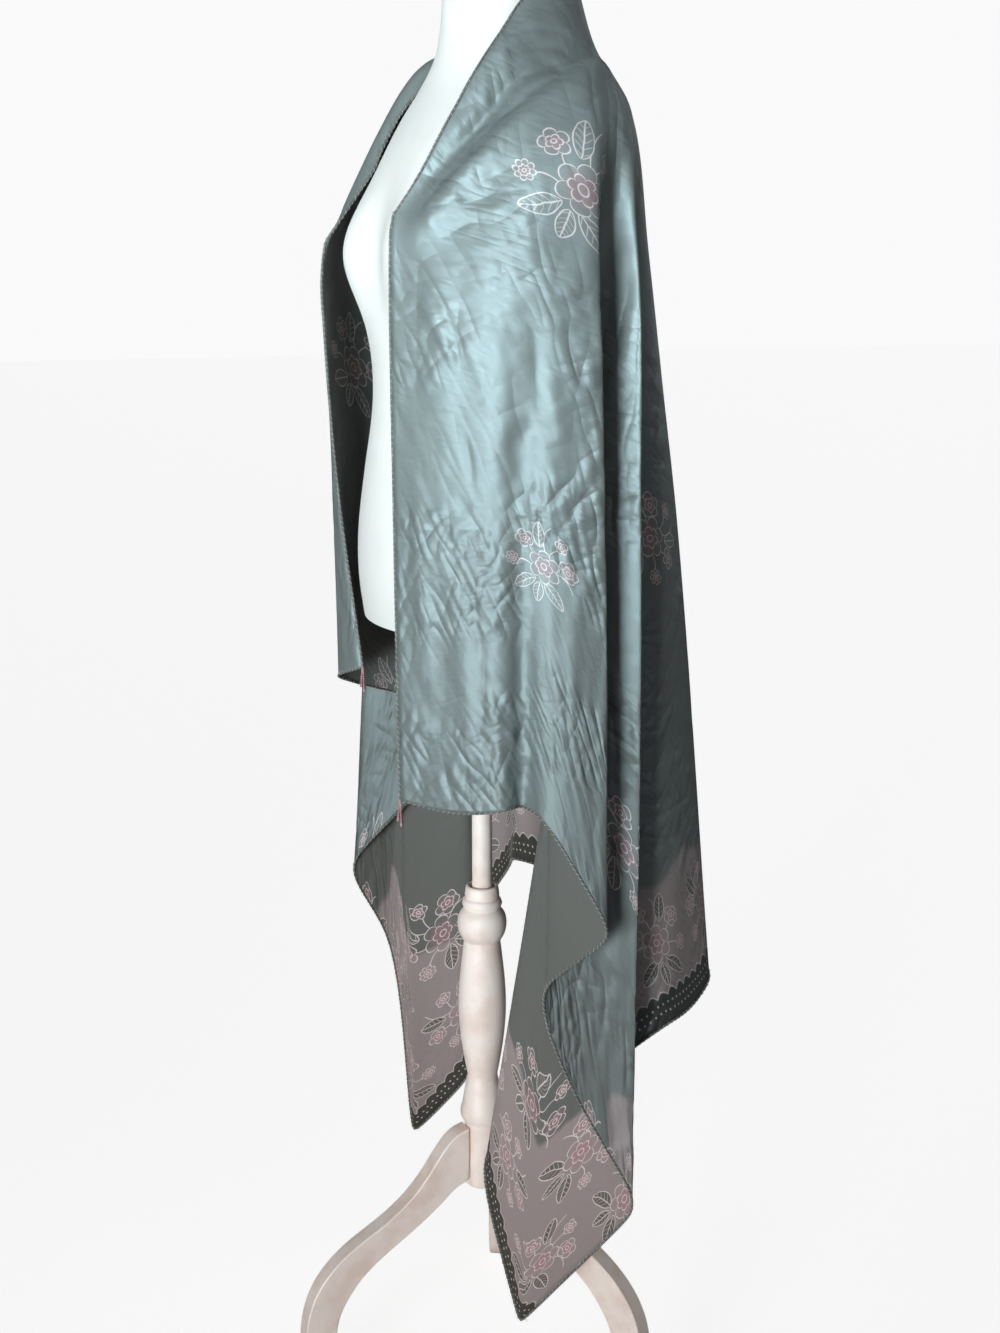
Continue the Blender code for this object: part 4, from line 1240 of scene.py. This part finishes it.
def grow(name, tree, lines, inputs):
    """Run a geometry node tree on polylines and keep what it makes as a plain mesh object."""
    points = [tuple(point) for line in lines for point in line]
    edges, first = [], 0
    for line in lines:
        edges += [(k, k + 1) for k in range(first, first + len(line) - 1)]
        first += len(line)
    mesh = bpy.data.meshes.new(name + "_line")
    mesh.from_pydata(points, edges, [])
    holder = add_object(name + "_line", mesh)
    maker = holder.modifiers.new("maker", "NODES")
    maker.node_group = tree
    for socket in tree.interface.items_tree:
        if socket.in_out == "INPUT" and socket.name in inputs:
            maker[socket.identifier] = inputs[socket.name]
    evaluated = holder.evaluated_get(bpy.context.evaluated_depsgraph_get())
    made = bpy.data.meshes.new_from_object(evaluated)
    made.name = name
    holder.modifiers.remove(maker)
    bpy.data.objects.remove(holder)
    bpy.data.meshes.remove(mesh)
    if not made.polygons:
        raise RuntimeError(f"{name} came out empty")
    piece = add_object(name, made)
    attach(piece, "root")
    return piece


def cloth_grid(shawl):
    """The draped cloth's points as the grid they were laid in."""
    points = np.array([vertex.co for vertex in shawl.data.vertices])
    return points.reshape(shawl["rows"], shawl["columns"], 3)


def number_setting(label, text, value, **more):
    """A number for a settings group."""
    return FloatProperty(name=label, description=text, default=value, **more)


def length_setting(label, text, value):
    """A length in metres for a settings group."""
    return number_setting(label, text, value, unit="LENGTH", precision=4)


def angle_setting(label, text, degrees):
    """An angle for a settings group, given here in degrees."""
    return number_setting(label, text, math.radians(degrees), subtype="ANGLE")


def colour_setting(label, text, value):
    """A colour for a settings group."""
    return FloatVectorProperty(
        name=label, description=text, default=value, subtype="COLOR", size=3, min=0.0, max=1.0,
    )


class ShawlSettings(bpy.types.PropertyGroup):
    """Sizes and colours of the shawl."""

    wall: length_setting("Wall", "Thickness of the satin", 0.0007)
    clearance: length_setting("Clearance", "Least gap between the satin and the form", 0.0042)
    seed: IntProperty(name="Crumple Seed", description="Which small creases the satin gets", default=7)
    right_side: colour_setting("Right Side", "Ground colour of the glossy side", (0.196, 0.215, 0.208))
    gloss: colour_setting("Gloss", "Tint of the satin's gloss", (0.70, 0.92, 1.0))
    wrong_side: colour_setting("Wrong Side", "Ground colour of the matt side", (0.140, 0.146, 0.135))
    # Painted shade: the dark grey that the ground is darkened to towards the lower edge
    deep: colour_setting("Deep", "Ground above the flowered band", (0.088, 0.086, 0.076))
    mauve: colour_setting("Mauve", "Ground of the flowered band", (0.275, 0.225, 0.22))
    border: colour_setting("Border", "Ground of the dotted border", (0.035, 0.032, 0.024))
    leaf: colour_setting("Leaf", "Fill of the band's leaves", (0.085, 0.075, 0.058))
    petal: colour_setting("Petal", "Fill of the petals", (0.34, 0.235, 0.24))
    heart: colour_setting("Heart", "Middle of the flowers", (0.36, 0.17, 0.19))
    line: colour_setting("Line", "Drawn lines and dots", (0.74, 0.64, 0.62))


class HemSettings(bpy.types.PropertyGroup):
    """The rolled hem and its stitches."""

    roll: length_setting("Roll", "Radius of the rolled hem", 0.0013)
    pitch: length_setting("Pitch", "From one stitch to the next", 0.006)
    thread: length_setting("Thread", "Radius of the sewing thread", 0.0003)
    seed: IntProperty(name="Seed", description="How the stitches vary", default=3)


class TasselSettings(bpy.types.PropertyGroup):
    """The bead tassels at the two upper corners."""

    bead: length_setting("Bead", "Radius of a bead", 0.00125)
    pitch: length_setting("Pitch", "From one bead to the next", 0.0025)
    thread: length_setting("Thread", "Radius of the thread", 0.0003)
    drop: length_setting("Drop", "How far the strands hang", 0.0255)
    spread: length_setting("Spread", "How far the strands' ends stand apart", 0.0024)
    strands: IntProperty(name="Strands", description="Strands in a tassel", default=3, min=1)
    seed: IntProperty(name="Seed", description="How the beads vary", default=5)


class StandSettings(bpy.types.PropertyGroup):
    """Colours of the form and its stand."""

    cover: colour_setting("Cover", "The form's cover", (0.80, 0.765, 0.73))
    cover_dust: colour_setting("Cover Dust", "Where the cover is a little soiled", (0.75, 0.71, 0.665))
    paint: colour_setting("Paint", "The stand's paint", (0.95, 0.84, 0.775))
    paint_wear: colour_setting("Paint Wear", "Where the paint is rubbed thin", (0.85, 0.70, 0.62))


class StageSettings(bpy.types.PropertyGroup):
    """The camera and the lights, placed from the stand's axis, and the background."""

    turn: angle_setting("Turn", "Direction from the stand to the camera, from -Y towards +X", 65.0)
    distance: length_setting("Distance", "Level distance from the stand to the camera", 1.82)
    height: length_setting("Height", "Height of the camera above the floor", 1.25)
    sidestep: length_setting("Sidestep", "How far right of the stand the camera stands", 0.0203)
    tilt: angle_setting("Tilt", "How far down the camera looks", 12.5)
    lens: number_setting("Lens", "Focal length on a 36 mm sensor", 45.91, unit="CAMERA")
    key_power: number_setting("Key Power", "Watts of the window light", 8.4)
    key_width: length_setting("Key Width", "Width of the window light", 1.0)
    key_tall: length_setting("Key Tall", "Height of the window light", 1.0)
    key_forward: length_setting("Key Forward", "How far towards the camera the key stands", 2.65)
    key_left: length_setting("Key Left", "How far left of the stand the key stands", 1.15)
    key_height: length_setting("Key Height", "Height of the key's middle", 1.20)
    key_aim: length_setting("Key Aim", "Height that the key points at", 1.38)
    key_spread: angle_setting("Key Spread", "How wide the window light opens", 38.0)
    key_colour: colour_setting("Key Colour", "Tint of the window light", (0.80, 0.95, 1.0))
    low_power: number_setting("Low Power", "Watts of the light on the stand", 2.5)
    low_spread: angle_setting("Low Spread", "How wide the low light opens", 31.0)
    low_height: length_setting("Low Height", "Height of the low light's middle", 0.30)
    low_aim: length_setting("Low Aim", "Height that the low light points at", 0.12)
    ambient: number_setting("Ambient", "Strength of the light from the key's side of the room", 0.40)
    shade: number_setting("Shade", "How much of it comes from the far side of the room", 0.13)
    behind: number_setting("Behind", "Strength of the light from behind the stand", 0.55)
    backdrop: number_setting("Backdrop", "How bright the background is", 0.95)
    floor_glow: number_setting("Floor Glow", "How much the floor is lifted to the background", 0.80)


class SHAWL_OT_cloth(bpy.types.Operator):
    """Drape the shawl over the form."""

    bl_idname = "shawl.cloth"
    bl_label = "Drape the Shawl"

    def execute(self, context):
        settings = context.scene.shawl
        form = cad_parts["dress_form"]
        tree = BVHTree.FromObject(form, context.evaluated_depsgraph_get())
        grid, middles = lay_columns(rib_curves())
        grid = soften(grid, SOFTEN_ROUNDS)
        uv, length, width = cloth_coordinates(grid, middles)
        sharp = [crease for crease in CREASES if crease.width <= SHARP_WIDTH]
        creases = [crease for crease in CREASES if crease.width > SHARP_WIDTH]
        creases += small_creases(length, width, settings.seed)
        grid = keep_clear(crease_cloth(grid, uv, creases), tree, settings.clearance)
        rows, columns = grid.shape[:2]
        # The print's dyes, and the painted shade over the lower cloth
        dyes_and_shade = ("deep", "mauve", "border", "leaf", "petal", "heart", "line")
        colours = {dye_or_shade: tuple(getattr(settings, dye_or_shade)) for dye_or_shade in dyes_and_shade}
        print_tree = print_group(colours, width)
        right_side = satin_material(
            "satin_right_side", print_tree, crumple_group("sharp_crumple", sharp),
            tuple(settings.right_side), depth=0.0085, roughness=0.52, Metallic=0.22, Anisotropic=0.3,
            IOR=2.1, Specular_Tint=(*settings.gloss, 1.0),
        )
        wrong_side = satin_material(
            "satin_wrong_side", print_tree, crumple_group("soft_crumple", []),
            tuple(settings.wrong_side), depth=0.003, roughness=0.7, Sheen_Weight=0.2,
        )
        shawl = add_mesh(
            "shawl", grid.reshape(-1, 3), grid_faces(rows, columns), [right_side, wrong_side],
            uv.reshape(-1, 2),
        )
        shawl["rows"], shawl["columns"] = rows, columns
        wall = shawl.modifiers.new("wall", "SOLIDIFY")
        wall.thickness = settings.wall
        wall.offset = 0.0
        wall.material_offset = 1
        wall.use_quality_normals = True
        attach(shawl, "root")
        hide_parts("left_front", "left_cascade", "back_panel", "right_cascade", "right_front")
        print(f"The flat cloth is {length:.3f} m by {width:.3f} m")
        return {"FINISHED"}


class SHAWL_OT_hem(bpy.types.Operator):
    """Roll and stitch the shawl's hem all round."""

    bl_idname = "shawl.hem"
    bl_label = "Roll the Hem"

    def execute(self, context):
        settings = context.scene.hem
        grid = cloth_grid(bpy.data.objects["shawl"])
        loop = np.concatenate([grid[0], grid[1:, -1], grid[-1, -2::-1], grid[-2::-1, 0]])
        ground, grain = tuple(context.scene.shawl.wrong_side), grain_group()
        materials = {
            "Cloth": grained_material(
                "hem_cloth", grain, ground, tuple(HEM_STAIN * part for part in ground),
                roughness=0.55, across=0.0007, along=0.0007, patch=0.03, depth=0.0001,
            ),
            "Silk": grained_material(
                "hem_thread", grain, *HEM_THREAD, roughness=0.55, across=0.0002, along=0.0002,
                patch=0.02, depth=0.00003,
            ),
        }
        hem = grow("hem", hem_tree(), [loop], {
            "Roll": settings.roll, "Pitch": settings.pitch, "Thread": settings.thread,
            "Seed": settings.seed, **materials,
        })
        return {"FINISHED"}


class SHAWL_OT_tassels(bpy.types.Operator):
    """Hang the bead tassels from the shawl's upper corners."""

    bl_idname = "shawl.tassels"
    bl_label = "Hang the Tassels"

    def execute(self, context):
        settings = context.scene.tassel
        grid = cloth_grid(bpy.data.objects["shawl"])
        grain = bpy.data.node_groups["grain"]
        glass = grained_material(
            "pink_beads", grain, *PINK_GLASS, roughness=0.20, across=0.002, along=0.002, patch=0.004,
            depth=0.0, Coat_Weight=0.4,
        )
        thread = grained_material(
            "tassel_thread", grain, *TASSEL_THREAD, roughness=0.7, across=0.0002, along=0.0008,
            patch=0.01, depth=0.00003,
        )
        tree = beads_tree()
        for side, corner in (("left", grid[-1, 0]), ("right", grid[-1, -1])):
            strands = []
            for k in range(settings.strands):
                around = math.tau * k / settings.strands
                lean = np.array((math.cos(around), math.sin(around), 0.0)) * settings.spread
                t = np.linspace(0.0, 1.0, STRAND_POINTS)[:, None]
                drop = settings.drop * (1 - STRAND_STEP * k)
                strands.append(corner + lean * np.sqrt(t) - np.array((0, 0, 1)) * drop * t)
            tassel = grow(f"beads_{side}", tree, strands, {
                "Bead": settings.bead, "Pitch": settings.pitch, "Thread": settings.thread,
                "Seed": settings.seed, "Glass": glass, "Silk": thread,
            })
            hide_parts(f"tassel_{side}")
        return {"FINISHED"}


class SHAWL_OT_form(bpy.types.Operator):
    """Cover the form and paint its stand."""

    bl_idname = "shawl.form"
    bl_label = "Make the Form and Stand"

    def execute(self, context):
        settings = context.scene.stand
        grain = bpy.data.node_groups["grain"]
        cover = grained_material(
            "form_cover", grain, tuple(settings.cover), tuple(settings.cover_dust), roughness=0.70,
            across=0.0009, along=0.0030, patch=0.11, depth=0.00025, Sheen_Weight=0.15,
        )
        paint = grained_material(
            "stand_paint", grain, tuple(settings.paint), tuple(settings.paint_wear), roughness=0.38,
            across=0.0016, along=0.045, patch=0.035, depth=0.00018,
        )
        refined("dress_form", "covered_form", cover, FORM_SHARP)
        for node in ("pole", "baluster", "hub", "leg_1", "leg_2", "leg_3"):
            refined(node, "painted_" + node, paint, STAND_SHARP)
        return {"FINISHED"}


class SHAWL_OT_stage(bpy.types.Operator):
    """Set the floor, the light and the camera."""

    bl_idname = "shawl.stage"
    bl_label = "Set the Stage"

    def execute(self, context):
        settings = context.scene.stage
        floor_paint = plain_material("pale_floor", (0.5, 0.5, 0.5), 0.8, Emission_Color=(1, 1, 1, 1))
        tree = floor_paint.node_tree
        glow = tree.nodes["Principled BSDF"].inputs["Emission Strength"]
        fill(tree, glow, seen_directly(tree) * settings.floor_glow)
        corners = [(x * FLOOR_REACH, y * FLOOR_REACH, FLOOR) for x, y in ((-1, -1), (1, -1), (1, 1), (-1, 1))]
        add_mesh("floor", corners, [(0, 1, 2, 3)], [floor_paint])
        right = Vector((math.cos(settings.turn), math.sin(settings.turn), 0.0))
        toward = Vector((math.sin(settings.turn), -math.cos(settings.turn), 0.0))
        back = toward * math.cos(settings.tilt) + Vector((0, 0, math.sin(settings.tilt)))
        lens = bpy.data.cameras.new("camera")
        lens.lens = settings.lens
        turned = Matrix((right, back.cross(right), back)).transposed().to_4x4()
        turned.translation = (
            AXIS + toward * settings.distance + right * settings.sidestep
            + Vector((0, 0, FLOOR + settings.height))
        )
        camera = add_object("camera", lens)
        camera.matrix_world = turned
        context.scene.camera = camera
        world = bpy.data.worlds.new("studio")
        world.use_nodes = True
        tree = world.node_tree
        aim = AXIS + Vector((0, 0, FLOOR + settings.key_aim))
        place = AXIS + toward * settings.key_forward - right * settings.key_left
        place.z = FLOOR + settings.key_height
        facing = add_node(tree, "ShaderNodeVectorMath", {"operation": "DOT_PRODUCT"})
        fill(tree, facing.inputs[0], add_node(tree, "ShaderNodeTexCoord").outputs["Generated"])
        fill(tree, facing.inputs[1], (place - aim).normalized())
        toward_key = Wire(tree, facing.outputs["Value"])
        bright = toward_key.ramp(*ROOM_RANGE)
        room = (bright * (1 - settings.shade) + settings.shade) * settings.ambient
        room = room + toward_key.ramp(*BEHIND_RANGE) * settings.behind
        seen = seen_directly(tree)
        background = tree.nodes["Background"].inputs
        fill(tree, background["Color"], (1, 1, 1, 1))
        fill(tree, background["Strength"], seen * settings.backdrop + seen.rest() * room)
        context.scene.world = world
        low_aim, low_place = Vector(aim), Vector(place)
        low_aim.z, low_place.z = FLOOR + settings.low_aim, FLOOR + settings.low_height
        for name, power, colour, spread, start, end in (
            ("key", settings.key_power, settings.key_colour, settings.key_spread, place, aim),
            ("low", settings.low_power, (1.0, 1.0, 1.0), settings.low_spread, low_place, low_aim),
        ):
            light = bpy.data.lights.new(name, "AREA")
            light.energy = power
            light.color = colour
            light.spread = spread
            light.shape = "RECTANGLE"
            light.size, light.size_y = settings.key_width, settings.key_tall
            lamp = add_object(name, light)
            lamp.location = start
            lamp.rotation_euler = (end - start).to_track_quat("-Z", "Y").to_euler()
        context.scene.view_settings.view_transform = "Standard"
        return {"FINISHED"}


class SHAWL_PT_panel(bpy.types.Panel):
    """The shawl's settings and steps."""

    bl_label = "Silk Shawl"
    bl_idname = "SHAWL_PT_panel"
    bl_space_type = "VIEW_3D"
    bl_region_type = "UI"
    bl_category = "Shawl"

    def draw(self, context):
        for key in SETTINGS:
            group = getattr(context.scene, key)
            for name in group.bl_rna.properties.keys():
                if name not in ("rna_type", "name"):
                    self.layout.prop(group, name)
        for operator in OPERATORS:
            self.layout.operator(operator.bl_idname)


SETTINGS = {
    "shawl": ShawlSettings, "hem": HemSettings, "tassel": TasselSettings, "stand": StandSettings,
    "stage": StageSettings,
}
OPERATORS = (SHAWL_OT_cloth, SHAWL_OT_hem, SHAWL_OT_tassels, SHAWL_OT_form, SHAWL_OT_stage)
CLASSES = (*SETTINGS.values(), *OPERATORS, SHAWL_PT_panel)


def register():
    """Add the settings, the steps and the panel to Blender."""
    for cls in CLASSES:
        bpy.utils.register_class(cls)
    for key, group in SETTINGS.items():
        setattr(bpy.types.Scene, key, PointerProperty(type=group))


def unregister():
    """Take them out again."""
    for key in SETTINGS:
        delattr(bpy.types.Scene, key)
    for cls in reversed(CLASSES):
        bpy.utils.unregister_class(cls)


def main():
    """Make every piece in order."""
    register()
    bpy.ops.shawl.cloth()
    bpy.ops.shawl.hem()
    bpy.ops.shawl.tassels()
    bpy.ops.shawl.form()
    bpy.ops.shawl.stage()


if __name__ == "__main__":
    main()
